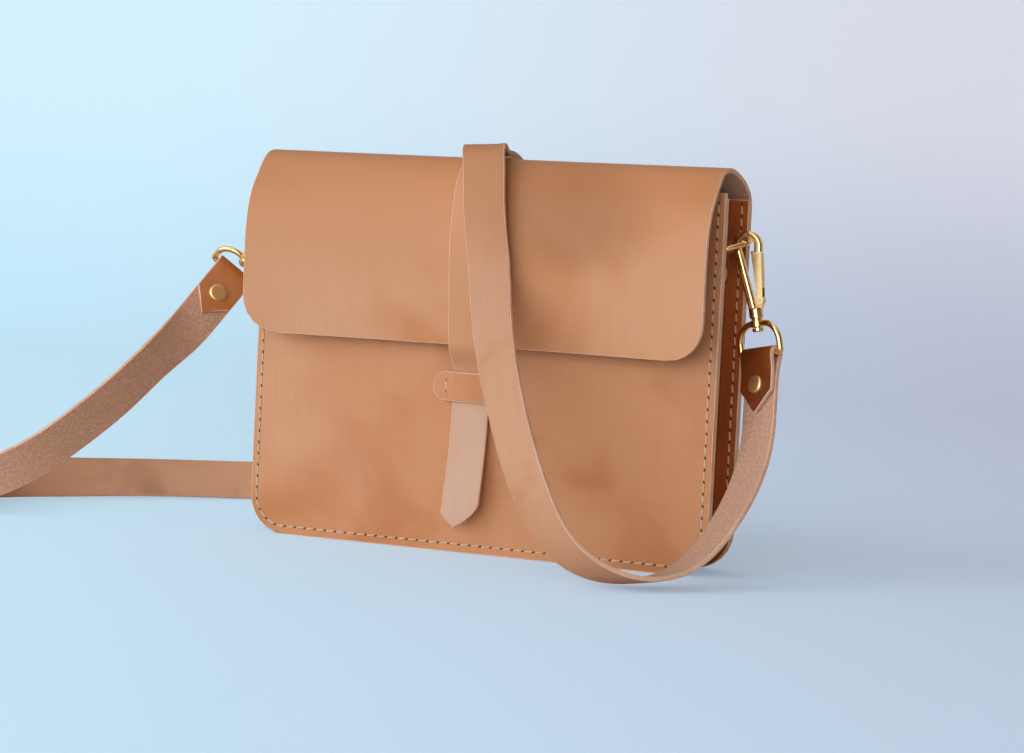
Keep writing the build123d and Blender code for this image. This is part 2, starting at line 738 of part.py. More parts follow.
def strap_sections():
    stations = route()
    points = [s[0] for s in stations]
    widths = [s[1] for s in stations]
    first = stations[0][2] * (points[1] - points[0]).length
    last = stations[-1][2] * (points[-1] - points[-2]).length
    point_slopes = slopes(points, first, last)
    width_slopes = slopes(widths)
    made = []
    for i in range(len(points) - 1):
        for j in range(FOLLOW_STEPS):
            u = j / FOLLOW_STEPS
            p = blend_at(points[i], points[i + 1], point_slopes[i], point_slopes[i + 1], u)
            q = blend_at(points[i], points[i + 1], point_slopes[i], point_slopes[i + 1], u + 0.01)
            a = blend_at(widths[i], widths[i + 1], width_slopes[i], width_slopes[i + 1], u)
            made.append((p, (q - p).normalized(), a))
    made.append((points[-1], stations[-1][2], widths[-1]))
    return made


def shoulder_strap():
    faces = []
    for p, along, width in strap_sections():
        across = (width - along * width.dot(along)).normalized()
        placed = Plane(origin=p, x_dir=across, z_dir=along).location
        faces.append(placed * Rectangle(STRAP_W, STRAP_T))
    return loft(faces, ruled=True)


# ---- Write every piece ----
def main():
    save(front_panel(), "front_panel")
    save(back_panel(), "back_panel")
    save(gusset(), "gusset")
    save(flap(), "flap")
    save(flap_margin(), "flap_margin")
    save(closure_strap(), "closure_strap")
    save(closure_strap_end(), "closure_strap_end")
    save(keeper(), "keeper")
    save(keeper_thread(), "keeper_thread")
    save(panel_seam(-1, SEAM_TOP_Z), "front_seam_thread")
    save(panel_seam(1, MARGIN_LOW_Z - 1.5), "back_seam_thread")
    save(flap_seam(), "flap_seam_thread")
    save(shoulder_strap(), "shoulder_strap")
    for side, name in ((-1, "left"), (1, "right")):
        hook = hook_frame(side)
        loop = loop_frame(side)
        end = end_frame(side)
        save(d_ring_tab(side), "d_ring_tab_" + name)
        save(d_ring_rivets(side), "d_ring_rivets_" + name)
        save(d_ring(side), "d_ring_" + name)
        save(hook * hook_body(), "snap_hook_" + name)
        save(hook * snap_gate(), "snap_gate_" + name)
        save(hook * gate_pin(), "gate_pin_" + name)
        save(hook * gate_spring(), "gate_spring_" + name)
        save(hook * swivel_stud(), "swivel_stud_" + name)
        save(loop * swivel_loop(), "swivel_loop_" + name)
        save(end * strap_end(), "strap_end_" + name)
        save(end * strap_rivet(), "strap_rivet_" + name)


main()
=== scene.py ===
# %% [markdown]
# # A leather sling bag, dressed piece by piece
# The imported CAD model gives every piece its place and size. This lesson hangs looks on it: sheets of
# vegetable-tanned leather with cut edges, saddle stitching, polished brass, a soft light and a camera.
# Everything is in metres, with the origin on the front panel's bottom edge, +Y to the rear, +Z up.

# %% Load the fixed frame
import json
import math

import bpy
import numpy as np
from mathutils import Matrix, Vector


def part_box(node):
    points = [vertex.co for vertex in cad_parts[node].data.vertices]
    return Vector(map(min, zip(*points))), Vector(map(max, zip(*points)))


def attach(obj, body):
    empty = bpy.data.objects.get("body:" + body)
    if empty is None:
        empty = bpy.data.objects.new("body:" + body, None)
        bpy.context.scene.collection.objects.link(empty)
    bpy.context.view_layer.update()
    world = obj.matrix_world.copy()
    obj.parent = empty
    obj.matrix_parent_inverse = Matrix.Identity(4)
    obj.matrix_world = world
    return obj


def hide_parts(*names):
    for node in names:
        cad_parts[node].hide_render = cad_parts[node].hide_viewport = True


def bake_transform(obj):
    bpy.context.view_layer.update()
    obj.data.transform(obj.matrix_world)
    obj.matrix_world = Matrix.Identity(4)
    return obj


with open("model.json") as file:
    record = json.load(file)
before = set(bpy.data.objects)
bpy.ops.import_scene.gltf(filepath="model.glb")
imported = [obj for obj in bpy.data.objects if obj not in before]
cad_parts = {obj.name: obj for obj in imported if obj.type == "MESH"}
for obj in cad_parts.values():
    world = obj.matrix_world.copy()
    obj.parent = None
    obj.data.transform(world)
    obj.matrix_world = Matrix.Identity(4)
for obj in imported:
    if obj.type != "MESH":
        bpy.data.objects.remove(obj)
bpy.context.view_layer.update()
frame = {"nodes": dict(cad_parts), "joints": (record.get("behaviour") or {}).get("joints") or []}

MM = 0.001
SIDES = {"left": -1, "right": 1}
joints = {j["name"]: j for j in frame["joints"]}

# %% [markdown]
# ## Places taken from the frame
# Sizes that the CAD already holds are read back from its boxes, so that the two never disagree.

# %% Main places
panel_low, panel_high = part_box("front_panel")
back_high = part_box("back_panel")[1]
flap_low, flap_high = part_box("flap")
PANEL_W = panel_high.x - panel_low.x
PANEL_H = panel_high.z
PANEL_T = panel_high.y - panel_low.y
FRONT_Y = panel_low.y
REAR_Y = back_high.y
MID_Y = (FRONT_Y + REAR_Y) / 2
BACK_PANEL_H = back_high.z
CORNER_R = 17 * MM
print("panel", round(PANEL_W, 4), "x", round(PANEL_H, 4), "middle plane y", round(MID_Y, 4))

# %% [markdown]
# ## Camera
# The camera stands about 1.17 m away, a little above the bag and to its right. Its long lens keeps
# the panels' sides nearly parallel. The frame is turned a few degrees about the view.

# %% Camera
AIM = Vector((16.07, -1.1, 77.36)) * MM
DISTANCE = 1168.4 * MM
YAW = math.radians(23.99)
PITCH = math.radians(3.43)
ROLL = math.radians(2.858)
LENS = 96.68
SENSOR_WIDTH = 36


def into_scene(name, data):
    """Makes an object from a mesh, lamp or camera and puts it in the scene."""
    made = bpy.data.objects.new(name, data)
    bpy.context.scene.collection.objects.link(made)
    return made


def add_camera():
    back = Vector((math.sin(YAW) * math.cos(PITCH), -math.cos(YAW) * math.cos(PITCH), math.sin(PITCH)))
    level = Vector((math.cos(YAW), math.sin(YAW), 0))
    above = back.cross(level)
    right = level * math.cos(ROLL) + above * math.sin(ROLL)
    up = above * math.cos(ROLL) - level * math.sin(ROLL)
    data = bpy.data.cameras.new("camera")
    data.lens = LENS
    data.sensor_width = SENSOR_WIDTH
    data.clip_start = 0.05
    data.clip_end = 30
    camera = into_scene("camera", data)
    turn = Matrix((right, up, back)).transposed().to_4x4()
    camera.matrix_world = Matrix.Translation(AIM + back * DISTANCE) @ turn
    bpy.context.scene.camera = camera
    return camera


print("camera at", [round(c, 3) for c in add_camera().matrix_world.translation])

# %% [markdown]
# ## Shader groups shared by the leathers
# Hide has cloudy patches where the tan took more or less, faint streaks along the back line, and pores.
# One group makes those masks from each point's place on the flat cut piece, which is stored on the mesh
# as the attribute "cut", so the pattern follows the leather round every bend. A second group turns
# the distance from the cut edge, the attribute "rim", into a mask for handled and burnished edges.


# %% Node helpers
def new_group(name, inputs, outputs):
    group = bpy.data.node_groups.new(name, "ShaderNodeTree")
    for label, value in inputs:
        socket = group.interface.new_socket(label, in_out="INPUT", socket_type="NodeSocketFloat")
        socket.default_value = value
    for label in outputs:
        group.interface.new_socket(label, in_out="OUTPUT", socket_type="NodeSocketFloat")
    return group, group.nodes.new("NodeGroupInput"), group.nodes.new("NodeGroupOutput")


def fill(tree, socket, value):
    """Links another node's output to a socket, or sets a plain value on it."""
    if isinstance(value, bpy.types.NodeSocket):
        tree.links.new(value, socket)
    else:
        socket.default_value = value


def maths(tree, operation, a, b=0.0, c=0.0):
    node = tree.nodes.new("ShaderNodeMath")
    node.operation = operation
    for socket, value in zip(node.inputs, (a, b, c)):
        fill(tree, socket, value)
    return node.outputs[0]


def shared(tree, a, b, share):
    """A mix of two masks, with that share of the first."""
    return maths(tree, "MULTIPLY_ADD", a, share, maths(tree, "MULTIPLY", b, 1 - share))


def attribute(tree, name):
    node = tree.nodes.new("ShaderNodeAttribute")
    node.attribute_name = name
    return node


def where(tree, kind="Object"):
    """Each point's place in the piece's own axes."""
    return tree.nodes.new("ShaderNodeTexCoord").outputs[kind]


def where_parts(tree, kind="Object"):
    """The same place, split into its X, Y and Z."""
    split = tree.nodes.new("ShaderNodeSeparateXYZ")
    tree.links.new(where(tree, kind), split.inputs[0])
    return split.outputs


def stretched(tree, vector, factors):
    node = tree.nodes.new("ShaderNodeVectorMath")
    node.operation = "MULTIPLY"
    tree.links.new(vector, node.inputs[0])
    node.inputs[1].default_value = factors
    return node.outputs[0]


def noise(tree, vector, scale, detail=3.0, roughness=0.5, distortion=0.0):
    node = tree.nodes.new("ShaderNodeTexNoise")
    tree.links.new(vector, node.inputs["Vector"])
    fill(tree, node.inputs["Scale"], scale)
    node.inputs["Detail"].default_value = detail
    node.inputs["Roughness"].default_value = roughness
    node.inputs["Distortion"].default_value = distortion
    return node.outputs["Fac"]


def contrast(tree, value, low, high):
    """A mask that eases from 0 at the low value to 1 at the high one."""
    node = tree.nodes.new("ShaderNodeMapRange")
    node.interpolation_type = "SMOOTHSTEP"
    tree.links.new(value, node.inputs["Value"])
    node.inputs["From Min"].default_value = low
    node.inputs["From Max"].default_value = high
    return node.outputs["Result"]


# A Mix node has sockets for numbers, vectors and colours. These are the ones for colours.
MIX_INPUTS = (0, 6, 7)
MIX_RESULT = 2


def mixed(tree, factor, a, b, mode="MIX"):
    node = tree.nodes.new("ShaderNodeMix")
    node.data_type = "RGBA"
    node.blend_type = mode
    for index, value in zip(MIX_INPUTS, (factor, a, b)):
        fill(tree, node.inputs[index], value)
    return node.outputs[MIX_RESULT]


print("node helpers are ready")

# %% The two groups
PORE_HEIGHT = 0.55
STREAK_HEIGHT = 0.25
CREASE_HEIGHT = 1.2


def hide_group():
    group, given, made = new_group(
        "hide pattern",
        [("Patch Scale", 22.0), ("Streak Scale", 420.0), ("Pore Scale", 2600.0), ("Crease Scale", 0.0)],
        ["Patches", "Streaks", "Pores", "Height"],
    )
    cut = attribute(group, "cut").outputs["Vector"]
    patches = noise(group, cut, given.outputs["Patch Scale"], 3.0, 0.55, 0.4)
    streaks = noise(group, stretched(group, cut, (1.0, 0.12, 1.0)), given.outputs["Streak Scale"], 4.0, 0.6)
    pores = noise(group, cut, given.outputs["Pore Scale"], 4.0, 0.7)
    crease_at = stretched(group, cut, (0.22, 1.0, 1.0))
    creases = noise(group, crease_at, given.outputs["Crease Scale"], 3.0, 0.6, 0.8)
    ridges = maths(group, "ABSOLUTE", maths(group, "SUBTRACT", creases, 0.5))
    height = maths(group, "MULTIPLY", streaks, STREAK_HEIGHT)
    height = maths(group, "MULTIPLY_ADD", pores, PORE_HEIGHT, height)
    height = maths(group, "MULTIPLY_ADD", ridges, CREASE_HEIGHT, height)
    for socket, value in zip(made.inputs, (patches, streaks, pores, height)):
        group.links.new(value, socket)
    return group


def rim_group():
    group, given, made = new_group("cut edge", [("Reach", 0.0015), ("Ragged", 0.4)], ["Near Edge"])
    rim = attribute(group, "rim").outputs["Fac"]
    cut = attribute(group, "cut").outputs["Vector"]
    wander = maths(group, "SUBTRACT", noise(group, cut, 700.0, 3.0), 0.5)
    shift = maths(group, "MULTIPLY", wander, given.outputs["Ragged"])
    share = maths(group, "DIVIDE", rim, given.outputs["Reach"])
    near = maths(group, "SUBTRACT", 1.0, maths(group, "ADD", share, shift))
    group.links.new(contrast(group, near, 0.0, 1.0), made.inputs["Near Edge"])
    return group


HIDE = hide_group()
RIM = rim_group()
print("groups", HIDE.name, "and", RIM.name)

# %% [markdown]
# ## The leathers
# Each cut piece shows three faces of the hide: the smooth grain side, the fuzzy flesh side and the raw cut
# edge. They get a material each. Colour comes first from two tones mixed by the patches, then a pale
# bloom, then the streaks. Roughness and bump follow the pores, because dull and deep go together.


# %% Material helpers
def group_node(tree, group, **values):
    """Places a group. Its inputs are named with underscores for spaces."""
    node = tree.nodes.new("ShaderNodeGroup")
    node.node_tree = group
    for label, value in values.items():
        node.inputs[label.replace("_", " ")].default_value = value
    return node


def start_material(name):
    material = bpy.data.materials.new(name)
    material.use_nodes = True
    tree = material.node_tree
    shader = tree.nodes["Principled BSDF"]
    return material, tree, shader


def bump(tree, shader, height, strength, distance):
    node = tree.nodes.new("ShaderNodeBump")
    node.inputs["Strength"].default_value = strength
    node.inputs["Distance"].default_value = distance
    tree.links.new(height, node.inputs["Height"])
    tree.links.new(node.outputs["Normal"], shader.inputs["Normal"])


def darker(colour, share):
    """A share of a colour's light, as opaque as before."""
    return [c * share for c in colour[:3]] + [1.0]


print("material helpers are ready")

# %% [markdown]
# ## The grain side
# The smooth side carries most of the looks. A soft dark spot is painted on the flap where the shoulder
# strap's shadow falls, a painted shadow, and the flap and strap are painted darker near the top, a painted
# shade of their up-facing top. The rubbed rim of each piece is a little darker than its middle. Pairs of
# numbers below say from which value a mask starts to show and at which it shows in full.

# %% Grain side
# Where the shoulder strap's shadow falls on the flap, and how dark it is: a painted shadow.
STRAP_SHADOW_AT = (0.038, 0.146)
SPOT_REACH = (0.05, 0.027)
STRAP_SHADOW_SHADE = (0.68, 0.62, 0.54, 1)
SPOT_WANDER = 1.1
SPOT_FADE = (1.7, 0.3)
TOP_SHADE_WANDER = 0.06
BLOOM_FROM = (0.5, 0.75)
STREAKS_FROM = (0.4, 0.75)
STREAKINESS = 0.16
FLECKS_FROM = (0.58, 0.75)
FLECKS = 0.2
FLECK_SHADE = 0.72
RUBBED_RIM = 0.35
RUBBED_SHADE = 0.6
RUBBED_REACH = 0.9 * MM
RUBBED_RAGGED = 0.15
SMOOTH = 0.42
PORE_ROUGH = 0.2
GRAIN_RELIEF = 0.35
GRAIN_DEPTH = 0.22 * MM
RICH_SHARE = (0.42, 0.68)
# Heights over which the painted shade of the up-facing top comes in.
TOP_SHADE_FROM = (0.135, 0.19)


def spot(tree, at, wide, centre, reach):
    """A soft round mask on the front of a piece, with a border that wanders."""
    side = maths(tree, "DIVIDE", maths(tree, "SUBTRACT", at["X"], centre[0]), reach[0])
    up = maths(tree, "DIVIDE", maths(tree, "SUBTRACT", at["Z"], centre[1]), reach[1])
    far = maths(tree, "ADD", maths(tree, "MULTIPLY", side, side), maths(tree, "MULTIPLY", up, up))
    return contrast(tree, maths(tree, "MULTIPLY_ADD", wide, SPOT_WANDER, far), *SPOT_FADE)


def grain_side(
    name, tones, crease=0.0, patch=22.0, rich_share=RICH_SHARE, top_shade_and_tone=0.0, top_from=TOP_SHADE_FROM, strap_shadow=False
):
    """tones: the leather's own tone, a rich one for its patches and a pale one for its bloom."""
    tone, rich, pale = tones
    material, tree, shader = start_material(name)
    hide = group_node(tree, HIDE, Patch_Scale=patch, Crease_Scale=crease)
    wide = noise(tree, attribute(tree, "cut").outputs["Vector"], patch * 0.45, 2.0)
    base = mixed(tree, contrast(tree, hide.outputs["Patches"], *rich_share), tone, rich)
    base = mixed(tree, contrast(tree, wide, *BLOOM_FROM), base, pale)
    at = where_parts(tree)
    # Darker towards the top: painted shade on the flap and shoulder strap; on the closure strap, a tan tone
    # above the keeper.
    high = contrast(tree, maths(tree, "MULTIPLY_ADD", wide, TOP_SHADE_WANDER, at["Z"]), *top_from)
    base = mixed(tree, maths(tree, "MULTIPLY", high, top_shade_and_tone), base, rich)
    # A painted shadow of the shoulder strap: a soft dark spot on the flap.
    if strap_shadow:
        dark = spot(tree, at, wide, STRAP_SHADOW_AT, SPOT_REACH)
        base = mixed(tree, dark, base, STRAP_SHADOW_SHADE, "MULTIPLY")
    streaks = contrast(tree, hide.outputs["Streaks"], *STREAKS_FROM)
    base = mixed(tree, maths(tree, "MULTIPLY", streaks, STREAKINESS), base, rich)
    flecks = contrast(tree, hide.outputs["Pores"], *FLECKS_FROM)
    base = mixed(tree, maths(tree, "MULTIPLY", flecks, FLECKS), base, darker(rich, FLECK_SHADE))
    edge = group_node(tree, RIM, Reach=RUBBED_REACH, Ragged=RUBBED_RAGGED)
    rubbed = maths(tree, "MULTIPLY", edge.outputs["Near Edge"], RUBBED_RIM)
    base = mixed(tree, rubbed, base, darker(rich, RUBBED_SHADE))
    tree.links.new(base, shader.inputs["Base Color"])
    rough = maths(tree, "MULTIPLY_ADD", hide.outputs["Pores"], PORE_ROUGH, SMOOTH)
    tree.links.new(rough, shader.inputs["Roughness"])
    shader.inputs["Specular IOR Level"].default_value = 0.38
    bump(tree, shader, hide.outputs["Height"], GRAIN_RELIEF, GRAIN_DEPTH)
    return material


print("grain side: rubbed rim", round(RUBBED_REACH / MM, 2), "mm wide")


# %% Flesh side and cut edge
def flesh_side(name, tone, dark):
    material, tree, shader = start_material(name)
    cut = attribute(tree, "cut").outputs["Vector"]
    nap = noise(tree, cut, 900.0, 5.0, 0.75)
    fibres = noise(tree, stretched(tree, cut, (1.0, 0.35, 1.0)), 2600.0, 4.0, 0.7)
    shade = contrast(tree, shared(tree, fibres, nap, 0.5), 0.38, 0.62)
    tree.links.new(mixed(tree, shade, dark, tone), shader.inputs["Base Color"])
    shader.inputs["Roughness"].default_value = 0.95
    shader.inputs["Specular IOR Level"].default_value = 0.15
    shader.inputs["Sheen Weight"].default_value = 0.25
    shader.inputs["Sheen Roughness"].default_value = 0.6
    bump(tree, shader, maths(tree, "ADD", nap, fibres), 0.8, 0.5 * MM)
    return material


def cut_edge(name, tone, dark):
    material, tree, shader = start_material(name)
    cut = attribute(tree, "cut").outputs["Vector"]
    fibres = noise(tree, stretched(tree, cut, (1.0, 1.0, 3.0)), 1500.0, 4.0, 0.7)
    blotch = noise(tree, cut, 160.0, 3.0)
    shade = contrast(tree, shared(tree, blotch, fibres, 0.35), 0.3, 0.6)
    tree.links.new(mixed(tree, shade, dark, tone), shader.inputs["Base Color"])
    shader.inputs["Roughness"].default_value = 0.8
    bump(tree, shader, fibres, 0.7, 0.3 * MM)
    return material


FLESH_SIDE = flesh_side("flesh side", (0.7, 0.43, 0.3, 1), (0.46, 0.24, 0.14, 1))
CUT_EDGE = cut_edge("cut edge", (0.84, 0.55, 0.4, 1), (0.6, 0.35, 0.23, 1))
print("shared by all pieces:", FLESH_SIDE.name, "and", CUT_EDGE.name)

# %% [markdown]
# ## The hides
# The bag is cut from hides that took the tan differently. Each has three tones: its own, a rich
# one and a pale one. The gusset is a deep saddle brown, and the left folded strap end is darker than
# the strap because fingers hold it. The right end is painted far darker, as painted shade, and the
# strap's lying part is painted paler, as painted light.

# %% Tones and finishes
# Own tone, rich tone, pale tone.
TAN = (0.56, 0.265, 0.125, 1), (0.48, 0.19, 0.07, 1), (0.63, 0.34, 0.2, 1)
ROSE = (0.585, 0.305, 0.17, 1), (0.52, 0.225, 0.09, 1), (0.64, 0.365, 0.235, 1)
SADDLE = (0.39, 0.09, 0.007, 1), (0.3, 0.058, 0.003, 1), (0.46, 0.133, 0.018, 1)
LIGHT = (0.56, 0.36, 0.26, 1), TAN[0], (0.6, 0.4, 0.3, 1)
STRAP = (0.54, 0.295, 0.175, 1), (0.43, 0.172, 0.062, 1), (0.58, 0.355, 0.24, 1)
# The lying strap's tones are painted paler than the strap's: painted light.
LYING_PAINTED_LIGHT = (0.74, 0.42, 0.26, 1), STRAP[0], (0.77, 0.47, 0.31, 1)
HANDLED = TAN[1], SADDLE[2], TAN[0]
# The right strap end's tones are painted shade, much darker than the strap.
SHADED_END_TONES = (0.18, 0.035, 0.003, 1), (0.11, 0.02, 0.002, 1), (0.3, 0.085, 0.012, 1)
SPARSE = (0.5, 0.8)


def finish(grain):
    """A piece's three materials: grain side, flesh side and cut edge."""
    print(grain.name)
    return [grain, FLESH_SIDE, CUT_EDGE]


BODY = finish(grain_side("body grain", TAN, patch=20.0))
FLAP = finish(grain_side("flap grain", ROSE, patch=15.0, top_shade_and_tone=0.85, strap_shadow=True))
GUSSET = finish(grain_side("gusset grain", SADDLE, patch=26.0))
# The closure strap turns tan above the keeper.
TRIM = finish(
    grain_side("trim grain", LIGHT, crease=260.0, rich_share=SPARSE, top_shade_and_tone=0.85, top_from=(0.094, 0.118))
)
STRAP_OWN = finish(grain_side("strap grain", STRAP, crease=420.0, rich_share=SPARSE, top_shade_and_tone=0.75))
STRAP_LYING_LIT = finish(grain_side("lying strap painted light", LYING_PAINTED_LIGHT, top_shade_and_tone=0.9))
STRAP_ENDS = {
    "left": finish(grain_side("handled grain", HANDLED, patch=60.0)),
    # The right end is painted dark as painted shade.
    "right": finish(grain_side("right end painted shade", SHADED_END_TONES, patch=60.0)),
}

# %% [markdown]
# ## How a sheet of leather is made
# A piece of leather is one thickness everywhere, so each piece starts as a grid of points on its middle
# surface. The helper raises a grain face and a flesh face half a thickness to each side and rolls a
# small round edge between them. An end that butts against the next piece of the same strap stays square.


# %% The grid and its border
def ease(t):
    """Runs from 0 to 1 with a soft start and a soft end."""
    t = max(0.0, min(1.0, t))
    return t * t * (3 - 2 * t)


def along_line(points):
    """How far along a line of points each one is."""
    steps = np.linalg.norm(np.diff(points, axis=0), axis=1)
    return np.concatenate([[0], steps.cumsum()])


def point_at(s, run, points):
    """The point at a distance along a line of points, or one for each of many distances."""
    return np.stack([np.interp(s, run, values) for values in points.T], axis=-1)


def corner_draw(radius, near):
    """How much a round corner takes off each end of a row that is this near the edge."""
    if near >= radius:
        return 0.0
    return radius - math.sqrt(max(0.0, radius**2 - (radius - near) ** 2))


def unit(v):
    return v / np.maximum(np.linalg.norm(v, axis=-1, keepdims=True), 1e-12)


def border_of(rows, cols):
    """The grid's border as (row, column) pairs, once round."""
    loop = [(0, j) for j in range(cols)]
    loop += [(i, cols - 1) for i in range(1, rows)]
    loop += [(rows - 1, j) for j in range(cols - 2, -1, -1)]
    loop += [(i, 0) for i in range(rows - 2, 0, -1)]
    return loop


def rim_distance(middle, butt):
    """Each grid point's distance from the nearest cut edge, along its row or column."""
    across = np.linalg.norm(np.diff(middle, axis=1), axis=2).cumsum(axis=1)
    across = np.pad(across, ((0, 0), (1, 0)))
    along = np.linalg.norm(np.diff(middle, axis=0), axis=2).cumsum(axis=0)
    along = np.pad(along, ((1, 0), (0, 0)))
    near = [across, across[:, -1:] - across]
    near += [d for d, joined in zip((along, along[-1:] - along), butt) if not joined]
    return np.minimum.reduce(near)


def sheet_normals(middle):
    along = np.gradient(middle, axis=0)
    across = np.gradient(middle, axis=1)
    return unit(np.cross(across, along))


def inward_ways(middle, out, bi, bj, butt):
    """At each border point, the way into the sheet. Along a square end there is none."""
    edge = middle[bi, bj]
    tangent = unit(np.roll(edge, -1, axis=0) - np.roll(edge, 1, axis=0))
    inward = unit(np.cross(out, tangent))
    rows, cols, _ = middle.shape
    for joined, row in zip(butt, (0, rows - 1)):
        if joined:
            on_end = bi == row
            inward[on_end] = 0
            for j, step in ((0, 1), (cols - 1, -1)):
                corner = on_end & (bj == j)
                inward[corner] = unit(middle[row, j + step] - middle[row, j])
    return inward


print("border of a 3 by 4 grid", border_of(3, 4))

# %% Meshes and bodies
# Each face of a mesh has one of three kinds, which are its material's place in the piece's list.
GRAIN, FLESH, EDGE = 0, 1, 2


def store(mesh, name, kind, values):
    layer = mesh.attributes.new(name, kind, "POINT")
    field = "vector" if kind == "FLOAT_VECTOR" else "value"
    layer.data.foreach_set(field, values.astype(np.float32).ravel())


def mesh_of(name, points, faces):
    mesh = bpy.data.meshes.new(name)
    mesh.from_pydata([tuple(p) for p in points], [], faces)
    return mesh


def finish_mesh(name, mesh, materials, kinds, sharp=50):
    for material in materials:
        mesh.materials.append(material)
    mesh.polygons.foreach_set("material_index", np.array(kinds, np.int32))
    mesh.polygons.foreach_set("use_smooth", np.ones(len(mesh.polygons), bool))
    mesh.set_sharp_from_angle(angle=math.radians(sharp))
    mesh.update()
    return into_scene(name, mesh)


def dress(made, body, slot, *nodes):
    """Rides on a body and stands for the CAD nodes it covers. The slot is not used."""
    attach(made, body)
    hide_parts(*nodes)
    print(made.name, len(made.data.polygons), "faces on", body)


# %% The sheet maker
ROLL_STEPS = (30, 60, 90)


def leather_sheet(name, middle, cut, thickness, materials, butt=(False, False), roll=0.4 * MM):
    """A thick sheet on a grid of middle points. The grain side is where across x along points."""
    rows, cols, _ = middle.shape
    normal = sheet_normals(middle)
    half = thickness / 2
    border = border_of(rows, cols)
    bi = np.array([b[0] for b in border])
    bj = np.array([b[1] for b in border])
    edge = middle[bi, bj]
    out = normal[bi, bj]
    inward = inward_ways(middle, out, bi, bj, butt)
    rim = rim_distance(middle, butt)
    points = []
    cuts = []
    rims = []
    faces = []
    kinds = []

    def ring(inset, height):
        start = len(points)
        points.extend(edge + inward * inset + out * height)
        cuts.extend(np.column_stack([cut[bi, bj], np.full(len(bi), height)]))
        rims.extend(rim[bi, bj])
        return start

    def face_of(sign):
        shifted = middle + normal * half * sign
        shifted[bi, bj] = edge + inward * roll + out * half * sign
        start = len(points)
        points.extend(shifted.reshape(-1, 3))
        depth = np.full((rows, cols, 1), half * sign)
        cuts.extend(np.concatenate([cut, depth], axis=2).reshape(-1, 3))
        rims.extend(rim.reshape(-1))
        for i in range(rows - 1):
            for j in range(cols - 1):
                a = start + i * cols + j
                quad = (a, a + 1, a + cols + 1, a + cols)
                faces.append(quad if sign > 0 else quad[::-1])
                kinds.append(GRAIN if sign > 0 else FLESH)
        return [start + i * cols + j for i, j in border]

    def join(last, now):
        for k in range(len(border)):
            n = (k + 1) % len(border)
            faces.append((last[n], last[k], now[k], now[n]))
            kinds.append(EDGE)

    last = face_of(1)
    for sign in (1, -1):
        for angle in ROLL_STEPS[::sign]:
            a = math.radians(angle)
            start = ring(roll * (1 - math.sin(a)), sign * (half - roll * (1 - math.cos(a))))
            now = [start + k for k in range(len(border))]
            join(last, now)
            last = now
    join(last, face_of(-1))
    mesh = mesh_of(name, points, faces)
    store(mesh, "cut", "FLOAT_VECTOR", np.array(cuts))
    store(mesh, "rim", "FLOAT", np.array(rims))
    return finish_mesh(name, mesh, materials, kinds)


print("a cut edge is rounded in", 2 * len(ROLL_STEPS), "steps")

# %% [markdown]
# ## Fair curves
# Leather bends in fair curves, with no sudden change of curvature. A cubic spline whose second
# derivative is continuous does that. It is solved here in a few lines, from the points that matter.


# %% The fair curve
FINE_STEPS = 60
RIM_INSET = 1 * MM
CORE_INSET = 3 * MM


class Fair:
    """A cubic spline through points, at given places or at their chord lengths.

    First and last are the directions at its ends, where they are given.
    """

    def __init__(self, points, first=None, last=None, places=None):
        self.p = np.array(points, float)
        self.t = along_line(self.p) if places is None else places
        n = len(self.p)
        h = np.diff(self.t)
        grid = np.zeros((n, n))
        right = np.zeros_like(self.p)
        step = np.diff(self.p, axis=0) / h[:, None]
        for i in range(1, n - 1):
            grid[i, i - 1 : i + 2] = h[i], 2 * (h[i - 1] + h[i]), h[i - 1]
            right[i] = 3 * (h[i] * step[i - 1] + h[i - 1] * step[i])
        for i, k, way in ((0, 1, first), (n - 1, n - 2, last)):
            grid[i, i] = 1 if way is not None else 2
            if way is None:
                grid[i, k] = 1
            right[i] = way if way is not None else 3 * step[min(i, k)]
        self.slope = np.linalg.solve(grid, right)

    def at(self, t):
        t = np.atleast_1d(t)
        i = np.clip(np.searchsorted(self.t, t, side="right") - 1, 0, len(self.t) - 2)
        h = (self.t[i + 1] - self.t[i])[:, None]
        u = (t - self.t[i])[:, None] / h
        a = self.p[i] * (2 * u**3 - 3 * u**2 + 1) + self.p[i + 1] * (3 * u**2 - 2 * u**3)
        return a + (self.slope[i] * (u**3 - 2 * u**2 + u) + self.slope[i + 1] * (u**3 - u**2)) * h

    def even(self, count):
        """Evenly spaced points, how far along the curve each is, and its place for at()."""
        fine = np.linspace(0, self.t[-1], FINE_STEPS * len(self.t))
        run = along_line(self.at(fine))
        want = np.linspace(0, run[-1], count)
        return self.at(np.interp(want, run, fine)), want, np.interp(want, run, fine)


def side_steps(half, inner=24):
    """Column places from -half to half, close together beside each edge."""
    core = np.linspace(-half + CORE_INSET, half - CORE_INSET, inner)
    left = [-half, -half + RIM_INSET]
    return np.array(left + list(core) + [-x for x in reversed(left)])


quarter = Fair([(1, 0), (math.sqrt(0.5), math.sqrt(0.5)), (0, 1)], (0, 1), (-1, 0))
quarter_run = quarter.even(40)[1]
print("through three points of a quarter circle", round(quarter_run[-1], 4), "of", round(math.pi / 2, 4))

# %% [markdown]
# ## Panels
# The front and back are flat boards of leather with two round lower corners. A grid whose rows get
# shorter through the corners keeps its faces even, which a triangle fan wouldn't. The middle of a panel
# stands in by less than a millimetre, because damp-formed leather never dries quite flat.


# %% Where each piece is cut
# How far off on the hide each piece is cut, in metres, so that no two show the same patches.
CUT_FROM = {
    "back panel": 0.4,
    "gusset": 0.8,
    "flap": 1.3,
    "closure strap": 2.0,
    "keeper": 2.3,
    "shoulder strap": 3.0,
    "ring tab": 4.0,
}
print("hide used for", len(CUT_FROM), "kinds of piece besides the front panel")

# %% Panels
PANEL_DISH = 0.8 * MM
DISH_STARTS = 6 * MM
DISH_REACH = 30 * MM


